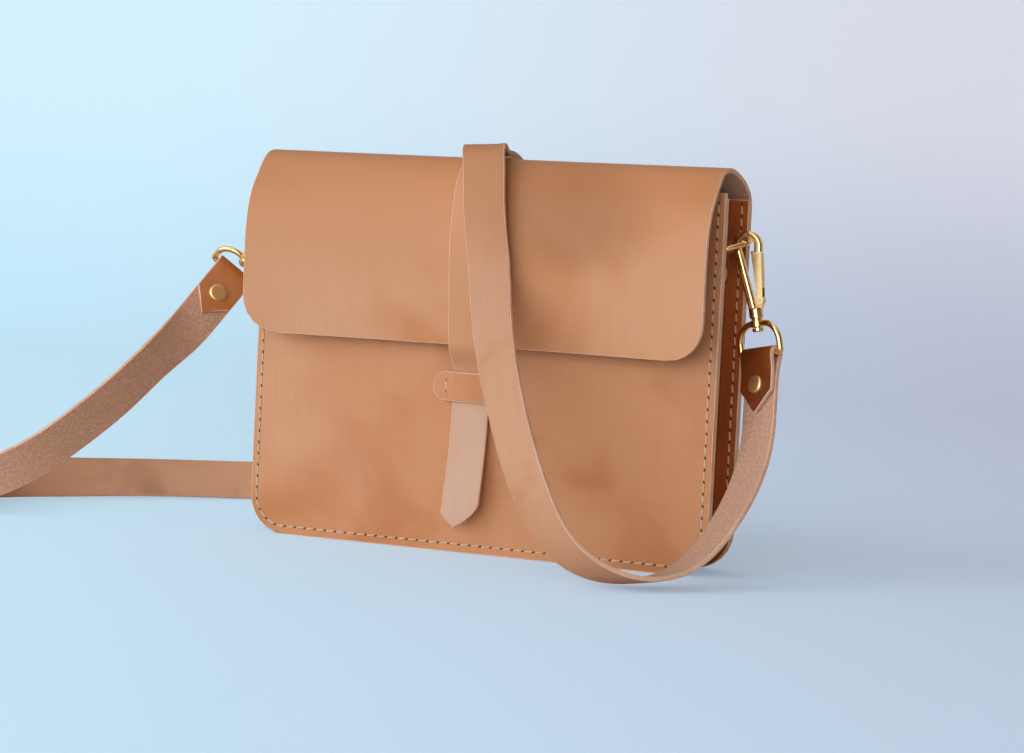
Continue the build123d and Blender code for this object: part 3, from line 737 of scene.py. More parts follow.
def panel_rows(height, radius):
    """(height, how much each end of the row draws in) from the bottom edge to the top."""
    corner = [math.radians(a) for a in range(0, 91, 15)]
    rows = [(radius * (1 - math.cos(a)), radius * (1 - math.sin(a))) for a in corner]
    rows += [(z, 0.0) for z in np.linspace(radius, height - 3 * MM, 26)[1:]]
    return rows + [(height - 1 * MM, 0.0), (height, 0.0)]


def soft_wave(x, z, seed):
    """A slow, smooth unevenness between 0 and 1."""
    a = math.sin(x * 23 + seed) * math.cos(z * 31 - 0.7 * seed)
    b = math.sin(x * 9 - z * 17 + 2.1 * seed)
    return 0.5 + 0.25 * (a + b)


def panel(name, y, outward, height, seed):
    """outward is -1 for the front and 1 for the rear. The seed chooses the unevenness."""
    half = PANEL_W / 2
    middle = []
    cut = []
    for z, draw in panel_rows(height, CORNER_R):
        columns = side_steps(half - draw)
        row = []
        for x in columns:
            depth = ease(min(half - abs(x) - DISH_STARTS, z - DISH_STARTS) / DISH_REACH)
            row.append((x, y - outward * PANEL_DISH * depth * soft_wave(x, z, seed), z))
        middle.append(row)
        cut.append([(x, z) for x in columns])
    middle = np.array(middle)
    cut = np.array(cut)
    if outward > 0:
        middle, cut = middle[:, ::-1], cut[:, ::-1] + CUT_FROM["back panel"]
    return leather_sheet(name, middle, cut, PANEL_T, BODY)


front = panel("front_panel_leather", FRONT_Y + PANEL_T / 2, -1, PANEL_H, 1.3)
dress(front, "bag", "body_leather", "front_panel")
rear = panel("back_panel_leather", REAR_Y - PANEL_T / 2, 1, BACK_PANEL_H, 4.1)
dress(rear, "bag", "body_leather", "back_panel")

# %% [markdown]
# ## Gusset
# One strip makes both sides and the bottom. Its edges are folded outward to flanges that the panels are
# sewn to, so across the strip the leather runs out, over and back. That section is carried round
# a U. Each point keeps its own distance from the outline, and the corner arcs shrink by it.


# %% Gusset
GUSSET_T = 2 * MM
GUSSET_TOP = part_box("gusset")[1].z
FLANGE_MID = (REAR_Y - FRONT_Y) / 2 - PANEL_T - GUSSET_T / 2
WEB_DEPTH = 9 * MM
FOLD_R = 1.9 * MM
# Distances in from the outline, in millimetres.
FLANGE_STEPS = (0, 1, 3, 5)
# The column where the fold ends, along which the strip's length is measured.
WEB_CORNER = 9


def flange_section():
    """Points across the strip: distance in from the outline, place between the panels."""
    section = [(d * MM, -FLANGE_MID) for d in FLANGE_STEPS]
    for a in range(0, 91, 18):
        t = math.radians(a)
        inner = WEB_DEPTH - FOLD_R + FOLD_R * math.sin(t)
        section.append((inner, -FLANGE_MID + FOLD_R * (1 - math.cos(t))))
    half = section + [(WEB_DEPTH, y) for y in np.linspace(-FLANGE_MID + FOLD_R + 2 * MM, 0, 4)]
    return half + [(d, -y) for d, y in reversed(half[:-1])]


def u_stations(outline_half, top, radius):
    """Stations round the U as (side, angle in a corner or None, place on a straight stretch).

    The side is -1 at the left, 0 on the bottom and 1 at the right.
    """
    made = []
    for z in np.concatenate([[top, top - 1 * MM, top - 3 * MM], np.linspace(top - 8 * MM, radius, 24)]):
        made.append((-1, None, z))
    for a in range(9, 90, 9):
        made.append((-1, math.radians(a), 0))
    bottom = np.linspace(-(outline_half - radius), outline_half - radius, 40)
    made += [(0, None, x) for x in bottom]
    made += [(1, math.pi / 2 - a, 0) for s, a, _ in made if a is not None]
    made += [(1, None, z) for s, a, z in reversed(made) if s == -1 and a is None]
    return made


def u_point(station, depth, outline_half, radius):
    """The station's point (x, z) that lies this deep inside the outline."""
    side, angle, place = station
    if side == 0:
        return place, depth
    if angle is None:
        return side * (outline_half - depth), place
    r = radius - depth
    return side * (outline_half - radius + r * math.cos(angle)), radius - r * math.sin(angle)


def gusset():
    section = flange_section()
    half = PANEL_W / 2
    middle = []
    for station in u_stations(half, GUSSET_TOP, CORNER_R):
        row = []
        for depth, y in section:
            x, z = u_point(station, depth, half, CORNER_R)
            row.append((x, MID_Y + y, z))
        middle.append(row)
    middle = np.array(middle)
    across = along_line(np.array(section)) + CUT_FROM["gusset"]
    cut = np.dstack(np.meshgrid(across, along_line(middle[:, WEB_CORNER])))
    return leather_sheet("gusset_leather", middle, cut, GUSSET_T, GUSSET)


dress(gusset(), "bag", "body_leather", "gusset")

# %% [markdown]
# ## Flap
# The flap comes from a seam on the back panel, turns over the top in one long curve and hangs bowed out
# in front. The closure strap pulls its middle in, so it bows less there than at the two sides. Its
# section is drawn twice, at the strap and at the sides, and every column between is a mix of the two.
# The lower corners are round in the same way as the panels'.

# %% Flap
FLAP_T = 2 * MM
FLAP_W = flap_high.x - flap_low.x
FLAP_CORNER_R = 16 * MM
TONGUE_X = -2 * MM
HINGE = Vector(joints["flap_fold"]["pos_m"])
# (out, up) from the panel's face and the hinge's height, in millimetres.
OVER_THE_TOP = [(2.5, 0.0), (1.8, 3.4), (-1.2, 6.7), (-6.8, 10.2), (-14.9, 13.2), (-23.5, 14.9)]
DOWN_AT_SIDES = [(0.5, 13.1), (7.5, 5.4), (13.5, -3.6), (16.9, -16.6), (17.5, -34.6)]
DOWN_AT_TONGUE = [(-0.5, 12.6), (5.5, 6.0), (8.9, -3.6), (10.7, -16.6), (10.1, -34.6)]
BOW_AT_SIDES = 16.7
BOW_AT_TONGUE = 7.1
FLAP_ROWS = 110
FLAP_SWAY = 0.5 * MM


def flap_line(down, bow):
    """The flap's outer line in (y, z), from the hinge over the top to the lower edge."""
    points = [(REAR_Y + out * MM, HINGE.z + up * MM) for out, up in OVER_THE_TOP]
    points += [(FRONT_Y - out * MM, HINGE.z + up * MM) for out, up in down]
    points.append((FRONT_Y - bow * MM, flap_low.z))
    return Fair(points)


def offset_line(curve, count, distance):
    """Evenly spaced points beside a (y, z) line, on its outer side for a positive distance."""
    points, run, _ = curve.even(count)
    way = unit(np.gradient(points, run, axis=0))
    return points + np.column_stack([way[:, 1], -way[:, 0]]) * distance, run


side_line = flap_line(DOWN_AT_SIDES, BOW_AT_SIDES)
tongue_line = flap_line(DOWN_AT_TONGUE, BOW_AT_TONGUE)


def pull_in(x):
    """How much a column follows the closure strap's line: 1 at the strap, 0 at the sides."""
    reach = FLAP_W / 2 + (TONGUE_X if x < TONGUE_X else -TONGUE_X)
    return max(0.0, 1 - ((x - TONGUE_X) / reach) ** 2)


def flap_sheet():
    sides, run = offset_line(side_line, FLAP_ROWS, -FLAP_T / 2)
    tongue, _ = offset_line(tongue_line, FLAP_ROWS, -FLAP_T / 2)
    length = run[-1]
    corner = [FLAP_CORNER_R * (1 - math.cos(math.radians(a))) for a in range(0, 90, 15)]
    straight = np.concatenate([[0, 1 * MM, 3 * MM], np.linspace(6 * MM, length - FLAP_CORNER_R, 84)])
    stations = list(straight) + [length - d for d in reversed(corner)]
    half = FLAP_W / 2
    middle = []
    cut = []
    for s in stations:
        columns = side_steps(half - corner_draw(FLAP_CORNER_R, length - s), 40)
        a = point_at(s, run, sides)
        b = point_at(s, run, tongue)
        row = []
        for x in columns:
            w = pull_in(x)
            sway = FLAP_SWAY * math.sin(x * 41 + 1.0) * (s / length) ** 2
            row.append((x, a[0] * (1 - w) + b[0] * w - sway, a[1] * (1 - w) + b[1] * w))
        middle.append(row)
        cut.append([(x + CUT_FROM["flap"], s) for x in columns])
    middle = np.array(middle)
    return leather_sheet("flap_leather", middle[:, ::-1], np.array(cut)[:, ::-1], FLAP_T, FLAP)


dress(flap_sheet(), "flap", "flap_leather", "flap")


def flap_margin():
    """The flap's sewn edge, flat on the back panel."""
    low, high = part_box("flap_margin")
    inner = list(np.linspace(low.z + 2.2 * MM, high.z - 1 * MM, 3))
    heights = [low.z, low.z + 1 * MM] + inner + [high.z]
    columns = side_steps(high.x, 30)[::-1]
    middle = np.array([[(x, (low.y + high.y) / 2, h) for x in columns] for h in heights])
    cut = np.array([[(x + CUT_FROM["flap"], -h) for x in columns] for h in heights])
    return leather_sheet("flap_margin_leather", middle, cut, high.y - low.y, FLAP)


dress(flap_margin(), "bag", "flap_leather", "flap_margin")

# %% [markdown]
# ## Closure strap and keeper
# The narrow strap lies on the flap, leaves its lower edge, dives through the keeper and swings free with
# a slanted tip. One strip from end to end, so its bends stay fair. The keeper is a short oval strip
# that rises over the strap between its two stitched ends.

# %% Closure strap
# Names call the closure strap the tongue, to tell it from the shoulder strap.
TONGUE_W = 17 * MM
TONGUE_T = 1.5 * MM
TONGUE_LAP = 0.2 * MM
keeper_low, keeper_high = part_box("keeper")
TIP_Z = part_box("closure_strap_end")[0].z
LAP_STEPS = 60
LAP_START = 3
LAP_STRIDE = 5
TIP_POINT_X = -2.2 * MM
TIP_LEFT = 6.4 * MM
TIP_RIGHT = 11.4 * MM
TIP_ROUNDNESS = 1.55
TONGUE_ACROSS = [0, 0.06, 0.18, 0.34, 0.5, 0.66, 0.82, 0.94, 1]


def closure_line():
    """The closure strap's middle line in (y, z)."""
    lap, _ = offset_line(tongue_line, LAP_STEPS, TONGUE_LAP + TONGUE_T / 2)
    on_flap = [tuple(p) for p in lap[LAP_START::LAP_STRIDE]] + [tuple(lap[-1])]
    seat = FRONT_Y - 0.3 * MM - TONGUE_T / 2
    low = [
        (seat - 3.1 * MM, keeper_high.z + 5.4 * MM),
        (seat - 0.1 * MM, keeper_high.z - 0.5 * MM),
        (seat, keeper_low.z + 4.0 * MM),
        (seat - 0.25 * MM, keeper_low.z - 3.0 * MM),
        (MID_Y - 19.6 * MM, 42.0 * MM),
        (MID_Y - 22.4 * MM, 27.0 * MM),
        (MID_Y - 25.4 * MM, TIP_Z),
    ]
    return Fair(on_flap + low)


def tip_reach(from_tip, half):
    """Where a row starts and ends across the strap: straight on the left, rounded on the right."""
    slant = min(1.0, from_tip / TIP_LEFT)
    left = TIP_POINT_X + (-half - TIP_POINT_X) * slant
    share = min(1.0, from_tip / TIP_RIGHT)
    right = TIP_POINT_X + (half - TIP_POINT_X) * (1 - (1 - share) ** TIP_ROUNDNESS)
    return left, right


def closure_strap():
    points, run, _ = closure_line().even(150)
    half = TONGUE_W / 2
    total = run[-1]
    rows = [0, 1 * MM, 3 * MM] + list(np.linspace(6 * MM, total - 12 * MM, 90))
    rows += list(np.linspace(total - 11.2 * MM, total - 0.2 * MM, 14))
    middle = []
    cut = []
    for s in rows:
        y, z = point_at(s, run, points)
        left, right = tip_reach(total - s, half)
        columns = np.interp(TONGUE_ACROSS, [0, 1], [left, right])
        middle.append([(TONGUE_X + x, y, z) for x in columns])
        cut.append([(x + CUT_FROM["closure strap"], s) for x in columns])
    middle = np.array(middle)
    return leather_sheet("closure_strap_leather", middle[:, ::-1], np.array(cut)[:, ::-1], TONGUE_T, TRIM)


dress(closure_strap(), "flap", "trim_leather", "closure_strap", "closure_strap_end")

# %% Keeper
KEEPER_T = 1.5 * MM
KEEPER_LIFT = 0.3 * MM + TONGUE_T + 0.4 * MM
KEEPER_ACROSS = [0, 0.08, 0.24, 0.5, 0.76, 0.92, 1]
KEEPER_TIP = 0.1 * MM


def keeper_strip():
    half_l = (keeper_high.x - keeper_low.x) / 2
    half_h = (keeper_high.z - keeper_low.z) / 2
    centre_z = (keeper_high.z + keeper_low.z) / 2
    bend_in = TONGUE_W / 2 + 0.7 * MM
    bend_out = bend_in + 2.6 * MM
    straight = half_l - half_h
    round_end = [half_l - half_h * (1 - math.cos(math.radians(a))) for a in range(21, 91, 13)]
    stations = round_end + list(np.linspace(straight, -straight, 40)) + [-x for x in round_end]
    stations = sorted({round(x, 7) for x in stations})
    middle = []
    cut = []
    for x in stations:
        past = max(0.0, abs(x) - straight)
        height = math.sqrt(max(KEEPER_TIP**2, half_h**2 - past**2))
        lift = KEEPER_LIFT * ease((bend_out - abs(x)) / (bend_out - bend_in))
        heights = np.interp(KEEPER_ACROSS, [0, 1], [-height, height])
        middle.append([(TONGUE_X + x, FRONT_Y - KEEPER_T / 2 - lift, centre_z + h) for h in heights])
        cut.append([(h + CUT_FROM["keeper"], x) for h in heights])
    middle = np.array(middle)[:, ::-1]
    cut = np.array(cut)[:, ::-1]
    return leather_sheet("keeper_leather", middle, cut, KEEPER_T, BODY)


dress(keeper_strip(), "bag", "trim_leather", "keeper")

# %% [markdown]
# ## Shoulder strap
# A flat strap shows every change in the way it lies, so it follows listed stations: where its centre
# is, and which way its width runs. Both are joined by fair curves. The strap is cut at a few places
# into lengths that meet face to face, because a length can bend across one joint only.

# %% Shoulder strap: stations
STRAP_W = 19 * MM
STRAP_T = 2 * MM
END_LENGTH = 28 * MM
LEG_Z = 1.15 * MM
# The way the strap runs on from each clasp.
STRAP_LEAVES = {"left": (-0.326, -0.570, -0.753), "right": (0.065, -0.219, -0.973)}
# Centre from the bag's middle plane in millimetres, then the way the width runs.
STRAP_ROUTE = [
    ((-163.0, -7.8, 74.4), (-0.23, -0.62, 0.75)),
    ((-171.7, -25.4, 57.6), (-0.21, -0.62, 0.76)),
    ((-183.7, -41.8, 41.2), (-0.21, -0.62, 0.76)),
    ((-200.1, -54.6, 26.1), (-0.26, -0.58, 0.77)),
    ((-220.9, -59.3, 15.9), (-0.34, -0.41, 0.85)),
    ((-242.0, -51.8, 11.2), (-0.26, -0.14, 0.96)),
    ((-255.0, -33.1, 10.2), (-0.08, 0.0, 1.0)),
    ((-255.9, -9.6, 10.2), (-0.03, 0.02, 1.0)),
    ((-246.8, 13.5, 10.0), (-0.15, 0.09, 0.98)),
    ((-232.1, 35.3, 9.8), (-0.28, 0.21, 0.94)),
    ((-194.0, 77.1, 9.5), (-0.32, 0.34, 0.88)),
    ((-146.5, 112.9, 10.2), (-0.25, 0.33, 0.91)),
    ((-117.8, 122.6, 14.2), (-0.23, 0.29, 0.93)),
    ((-87.7, 123.4, 21.4), (-0.23, 0.34, 0.91)),
    ((-59.4, 118.3, 31.3), (-0.16, 0.48, 0.86)),
    ((-37.0, 108.0, 45.5), (0.01, 0.62, 0.78)),
    ((-20.5, 90.0, 62.0), (0.29, 0.70, 0.64)),
    ((-10.5, 74.0, 84.0), (0.62, 0.62, 0.46)),
    ((-6.5, 62.5, 104.5), (0.86, 0.42, 0.26)),
    ((-4.6, 51.5, 124.5), (0.96, 0.24, 0.12)),
    ((-3.5, 39.5, 142.5), (0.99, 0.12, 0.04)),
    ((-4.0, 28.0, 155.8), (0.99, 0.10, 0.02)),
    ((-4.8, 17.6, 164.4), (0.98, 0.16, 0.02)),
    ((-5.2, 8.5, 169.3), (0.98, 0.18, 0.02)),
    ((-4.6, -1.5, 172.1), (0.98, 0.18, 0.0)),
    ((-3.0, -10.8, 172.8), (0.98, 0.16, 0.0)),
    ((-0.7, -18.0, 174.0), (0.99, 0.08, 0.04)),
    ((1.3, -23.9, 172.4), (0.99, 0.0, 0.09)),
    ((2.9, -26.7, 167.0), (0.99, 0.0, 0.12)),
    ((5.2, -30.0, 154.5), (0.98, 0.0, 0.15)),
    ((7.0, -31.2, 141.7), (0.98, -0.02, 0.17)),
    ((9.8, -32.2, 126.4), (0.97, 0.01, 0.24)),
    ((15.6, -40.1, 107.8), (0.93, 0.0, 0.37)),
    ((25.7, -54.0, 86.6), (0.86, -0.07, 0.51)),
    ((39.8, -69.8, 62.7), (0.80, -0.16, 0.58)),
    ((56.4, -82.8, 36.7), (0.75, -0.27, 0.60)),
    ((75.6, -83.7, 12.8), (0.66, -0.57, 0.49)),
    ((96.4, -71.0, 4.0), (0.70, -0.68, 0.21)),
    ((112.2, -52.6, 9.0), (0.78, -0.61, 0.13)),
    ((121.4, -35.9, 25.3), (0.82, -0.55, 0.14)),
]
print("the route has", len(STRAP_ROUTE), "stations between the clasps")


# %% Shoulder strap: line
STRAP_STEPS = 420


def end_axes(side):
    """A clasp end's own axes: along the loop's bar, up the strap, and out to the pointed tab."""
    joint = joints["end_swing_" + side]
    up = -Vector(STRAP_LEAVES[side]).normalized()
    along = Vector(joint["axis"])
    along = (along - up * along.dot(up)).normalized()
    return Vector(joint["pos_m"]), along, up, along.cross(up)


def strap_station(side):
    """Where the strap meets a folded end: centre, way of the width, way along the strap."""
    origin, along, up, out = end_axes(side)
    foot = origin - up * END_LENGTH - out * LEG_Z
    sign = SIDES[side]
    return foot, along * sign, up * sign


def strap_curves():
    left, right = strap_station("left"), strap_station("right")
    centres = [np.array(left[0])]
    widths = [np.array(left[1])]
    for centre, width in STRAP_ROUTE:
        centres.append(np.array(centre) * MM + (0, MID_Y, 0))
        widths.append(np.array(width))
    centres.append(np.array(right[0]))
    widths.append(np.array(right[1]))
    return Fair(centres, np.array(left[2]), np.array(right[2])), np.array(widths)


strap_line, strap_widths = strap_curves()
strap_points, strap_run, strap_knots = strap_line.even(STRAP_STEPS)
STRAP_LENGTH = strap_run[-1]
print("shoulder strap between its ends", round(STRAP_LENGTH, 3), "m")


def strap_frame():
    """For each even step, the way along the strap and the way across it."""
    along = unit(np.gradient(strap_points, strap_run, axis=0))
    width = Fair(strap_widths, places=strap_line.t).at(strap_knots)
    across = unit(width - along * np.sum(width * along, axis=1, keepdims=True))
    return along, across


strap_along, strap_across = strap_frame()

# %% Shoulder strap: lengths
ACROSS_STEPS = np.array([-1, -0.9, -0.66, -0.33, 0, 0.33, 0.66, 0.9, 1])
CUP = 0.25 * MM
END_ROOM = 0.4 * MM


def strap_length(name, start, stop, body, other, materials):
    """The strap between two distances from its left end, riding on one body or left in place between two.
    """
    inside = (strap_run > start + END_ROOM) & (strap_run < stop - END_ROOM)
    runs = np.concatenate([[start], strap_run[inside], [stop]])
    centre = point_at(runs, strap_run, strap_points)
    across = unit(point_at(runs, strap_run, strap_across))
    along = unit(point_at(runs, strap_run, strap_along))
    out = np.cross(across, along)
    steps = -ACROSS_STEPS * STRAP_W / 2
    middle = centre[:, None] + across[:, None] * steps[None, :, None]
    middle = middle - out[:, None] * (CUP * (1 - ACROSS_STEPS**2))[None, :, None]
    cut = np.dstack(np.meshgrid(steps + CUT_FROM["shoulder strap"], runs))
    made = leather_sheet(name, middle, cut, STRAP_T, materials, butt=(True, True))
    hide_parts("shoulder_strap")
    if other is None:
        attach(made, body)
    else:
        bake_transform(made)
    print(name, round(stop - start, 3), "m on", body, other or "")


def run_at(test):
    """The distance from the strap's left end at the first step that passes a test."""
    return float(strap_run[np.argmax([test(*p) for p in strap_points])])


# %% Shoulder strap: where it is cut
REAR_BEND_Z = 0.135
CREST_Z = 0.168
LEAVES_Z = 0.128
LEAVES_X = 0.008
behind = run_at(lambda x, y, z: z > REAR_BEND_Z and y > HINGE.y)
crest = run_at(lambda x, y, z: z > CREST_Z and y < HINGE.y)
leaves = run_at(lambda x, y, z: z < LEAVES_Z and y < FRONT_Y and x > LEAVES_X)
# Each length's name, where it starts from the strap's left end, and its body, with a second body where it
# lies between two and is left in place.
LENGTHS = [
    ("strap_left_a", 0.0, "clasp_end_left", "loop_left"),
    ("strap_left_b", 0.025, "loop_left", "hook_left"),
    ("strap_left_c", 0.045, "hook_left", "ring_left"),
    ("strap_left_d", 0.075, "ring_left", "bag"),
    ("strap_lying", 0.175, "bag", None),
    ("strap_rear_bend", behind, "bag", "flap"),
    ("strap_on_flap", crest, "flap", None),
    ("strap_front_run", leaves, "flap", "bag"),
    ("strap_right_d", STRAP_LENGTH - 0.090, "bag", "ring_right"),
    ("strap_right_c", STRAP_LENGTH - 0.038, "ring_right", "hook_right"),
    ("strap_right_b", STRAP_LENGTH - 0.009, "hook_right", "loop_right"),
    ("strap_right_a", STRAP_LENGTH - 0.004, "loop_right", "clasp_end_right"),
]
stops = [start for _, start, _, _ in LENGTHS[1:]] + [STRAP_LENGTH]
for (name, start, body, other), stop in zip(LENGTHS, stops):
    # The lying length takes the paler tones of painted light.
    finishes = STRAP_LYING_LIT if name == "strap_lying" else STRAP_OWN
    strap_length(name, start, stop, body, other, finishes)

# %% [markdown]
# ## Folded strap ends
# Each end of the strap is folded round the loop's bar and riveted back on itself, with a pointed tab
# on top. The fold is one strip whose line is drawn side-on in the clasp end's own axes, then
# carried across the strap's width.

# %% Strap ends
TAB_POINT = 24.4 * MM
TAB_SHOULDER = 15.2 * MM
LOOP_WIRE = 2.6 * MM
FOLD_MID_R = LOOP_WIRE / 2 + 0.2 * MM + STRAP_T / 2
POINT_WIDTH = 0.02
# Each end shows its own stretch of the hide.
END_CUT_ALONG = {"left": 0.0, "right": 5.0}


def fold_line():
    """Side view of the fold: (up the strap from the bar, out to the tab)."""
    points = [(-END_LENGTH, -LEG_Z), (-22 * MM, -LEG_Z), (-15 * MM, -LEG_Z)]
    points += [(-9.5 * MM, -LEG_Z - 0.05 * MM), (-4.2 * MM, -1.75 * MM)]
    for a in (-105, -70, -35, 0, 35, 70, 105):
        t = math.radians(a)
        points.append((FOLD_MID_R * math.cos(t), FOLD_MID_R * math.sin(t)))
    points += [(-4.2 * MM, 1.75 * MM), (-9.5 * MM, LEG_Z + 0.05 * MM)]
    points += [(-14 * MM, LEG_Z), (-19 * MM, LEG_Z), (-TAB_POINT, LEG_Z)]
    return Fair(points)


def strap_end(side):
    origin, bar, up, out = [np.array(v) for v in end_axes(side)]
    points, run, _ = fold_line().even(200)
    total = run[-1]
    point_l = TAB_POINT - TAB_SHOULDER
    rows = list(np.linspace(0, total - point_l - 1.4 * MM, 70))
    rows += list(np.linspace(total - point_l, total, 12))
    middle = []
    cut = []
    for s in rows:
        a, b = point_at(s, run, points)
        narrow = max(POINT_WIDTH, min(1.0, (total - s) / point_l))
        steps = -ACROSS_STEPS * STRAP_W / 2 * narrow
        middle.append([origin + bar * x + up * a + out * b for x in steps])
        cut.append([(x + CUT_FROM["shoulder strap"], s + END_CUT_ALONG[side]) for x in steps])
    middle = np.array(middle)
    name = "strap_end_leather_" + side
    made = leather_sheet(name, middle, np.array(cut), STRAP_T, STRAP_ENDS[side], butt=(True, False))
    dress(made, "clasp_end_" + side, "strap_leather", "strap_end_" + side)


for side in SIDES:
    strap_end(side)

# %% [markdown]
# ## Ring tabs
# A short strip wraps each D ring's bar and is riveted flat above and below it.

# %% Ring tabs
RING_WIRE = 2.3 * MM
RING_STAND_OFF = 2.6 * MM
TAB_W = 16 * MM
TAB_L = 34 * MM
TAB_T = 1.6 * MM
TAB_CORNER_R = 3 * MM
TAB_ROLL = 0.35 * MM


def tab_line():
    """Side view of a tab: (up the web, out from it)."""
    r = RING_WIRE / 2 + 0.35 * MM + TAB_T / 2
    mid = TAB_T / 2
    lower = [(-TAB_L / 2, mid), (-12 * MM, mid), (-8 * MM, mid), (-r - 2.1 * MM, mid + 0.1 * MM)]
    lower += [(-r - 0.2 * MM, RING_STAND_OFF - 0.6 * MM)]
    angles = [math.radians(a) for a in (150, 90, 30)]
    arch = [(r * math.cos(a), RING_STAND_OFF + r * math.sin(a)) for a in angles]
    upper = [(-u, v) for u, v in reversed(lower)]
    return Fair(lower + arch + upper)


def ring_tab(side):
    sign = SIDES[side]
    joint = joints["ring_swing_" + side]
    bar = np.array(joint["axis"]) * -sign
    out = np.array((sign, 0.0, 0.0))
    up = np.cross(bar, out) * sign
    centre = np.array(joint["pos_m"]) - out * RING_STAND_OFF
    points, run, _ = tab_line().even(160)
    total = run[-1]
    arc = [TAB_CORNER_R * (1 - math.cos(math.radians(a))) for a in (0, 30, 60, 90)]
    inset = TAB_CORNER_R + 1.2 * MM
    rows = arc + list(np.linspace(inset, total - inset, 50))
    rows += [total - d for d in reversed(arc)]
    middle = []
    cut = []
    for s in rows:
        a, b = point_at(s, run, points)
        steps = ACROSS_STEPS * (TAB_W / 2 - corner_draw(TAB_CORNER_R, min(s, total - s)))
        middle.append([centre + bar * x + up * a + out * b for x in steps])
        cut.append([(x + CUT_FROM["ring tab"], s) for x in steps])
    middle = np.array(middle)
    cut = np.array(cut)
    flat = sheet_normals(middle)[len(arc), len(ACROSS_STEPS) // 2]
    if np.dot(flat, out) < 0:
        middle, cut = middle[:, ::-1], cut[:, ::-1]
    made = leather_sheet("d_ring_tab_leather_" + side, middle, cut, TAB_T, GUSSET, roll=TAB_ROLL)
    dress(made, "bag", "body_leather", "d_ring_tab_" + side)


for side in SIDES:
    ring_tab(side)

# %% [markdown]
# ## Saddle stitching
# Waxed thread pulled tight sinks at both ends of each stitch and swells in the middle, and the awl
# leaves a slit between stitches, drawn as a flat patch painted dark as painted shade. Each stitch is a
# small swelling rod that dives into the leather, turned a few degrees off the line as hand stitches are.
# A repeat in a loop is exact and still cheap.

# %% Thread and awl materials
THREAD_DARK = (0.5, 0.36, 0.24, 1)
THREAD_PALE = (0.74, 0.6, 0.44, 1)
# The slit's tones are painted shade.
HOLE_SHADE_DARK = (0.035, 0.014, 0.006, 1)
HOLE_SHADE_PALE = (0.09, 0.035, 0.015, 1)


def thread_material():
    material, tree, shader = start_material("waxed thread")
    strands = noise(tree, where(tree), 2400.0, 3.0)
    tone = mixed(tree, contrast(tree, strands, 0.35, 0.65), THREAD_DARK, THREAD_PALE)
    tree.links.new(tone, shader.inputs["Base Color"])
    shader.inputs["Roughness"].default_value = 0.6
    bump(tree, shader, strands, 0.6, 0.2 * MM)
    return material


def awl_shade_material():
    material, tree, shader = start_material("awl hole shade")
    tone = mixed(tree, noise(tree, where(tree), 1500.0), HOLE_SHADE_DARK, HOLE_SHADE_PALE)
    tree.links.new(tone, shader.inputs["Base Color"])
    shader.inputs["Roughness"].default_value = 0.9
    return material


SEWING = [thread_material(), awl_shade_material()]
print("sewing", [m.name for m in SEWING])

# %% Stitches
STITCH_PITCH = 5 * MM
STITCH_LONG = 4.1 * MM
THREAD_R = 0.37 * MM
SLANT = math.radians(5)
STITCH_RINGS = 9
STITCH_SIDES = 8
HOLE_LONG = 0.75 * MM
HOLE_WIDE = 0.42 * MM
HOLE_TURN = 0.5
HOLE_SIDES = 10
# Each ring of a hole: its share of the size, and its height off the leather in millimetres.
HOLE_RINGS = [(1.0, -0.05), (0.92, 0.05), (0.5, 0.03)]
THREAD, HOLE = 0, 1


def stitch_points(centre, along, out):
    """Rings of a rod that is thickest in the middle and sinks at its ends."""
    side = np.cross(out, along)
    way = along * math.cos(SLANT) + side * math.sin(SLANT)
    across = np.cross(out, way)
    points = []
    for t in np.linspace(-1, 1, STITCH_RINGS):
        swell = THREAD_R * max(0.25, (1 - abs(t) ** 3.5)) ** 0.5
        lift = THREAD_R * 0.35 - THREAD_R * 1.5 * abs(t) ** 5
        middle = centre + way * (t * STITCH_LONG / 2) + out * lift
        for a in np.linspace(0, 2 * math.pi, STITCH_SIDES, endpoint=False):
            round_it = across * (math.cos(a) * swell * 1.1) + out * (math.sin(a) * swell * 0.85)
            points.append(middle + round_it)
    return points


def hole_points(centre, along, out):
    """Rings of a flat slit with a pressed lip, just proud of the leather, dark as painted shade."""
    side = np.cross(out, along)
    way = along * math.cos(HOLE_TURN) + side * math.sin(HOLE_TURN)
    across = np.cross(out, way)
    points = []
    for share, height in HOLE_RINGS:
        for a in np.linspace(0, 2 * math.pi, HOLE_SIDES, endpoint=False):
            flat = way * (math.cos(a) * HOLE_LONG * share) + across * (math.sin(a) * HOLE_WIDE * share)
            points.append(centre + flat + out * height * MM)
    return points


def tube_faces(start, rings, sides):
    """Quads round a tube whose rings of points follow one another from a start."""
    made = []
    for i in range(rings - 1):
        for j in range(sides):
            n = (j + 1) % sides
            a = start + i * sides
            made.append((a + j, a + n, a + sides + n, a + sides + j))
    return made


def sew(name, rows, node):
    """rows: lists of (centre, along, out). One mesh of all stitches and the holes between them."""
    points = []
    faces = []
    kinds = []

    def add(new_points, sides, kind, closed_start):
        start = len(points)
        rings = len(new_points) // sides
        points.extend(new_points)
        new_faces = tube_faces(start, rings, sides)
        if closed_start:
            new_faces.append(tuple(start + j for j in reversed(range(sides))))
        new_faces.append(tuple(start + (rings - 1) * sides + j for j in range(sides)))
        faces.extend(new_faces)
        kinds.extend([kind] * len(new_faces))

    for row in rows:
        for k, (centre, along, out) in enumerate(row):
            add(stitch_points(centre, along, out), STITCH_SIDES, THREAD, True)
            for end in [-1, 1] if k == 0 else [1]:
                hole = centre + along * (end * STITCH_PITCH / 2)
                add(hole_points(hole, along, out), HOLE_SIDES, HOLE, False)
    made = finish_mesh(name, mesh_of(name, points, faces), SEWING, kinds, 70)
    dress(made, "bag", "thread", node)


print("a stitch every", round(STITCH_PITCH / MM, 1), "mm")

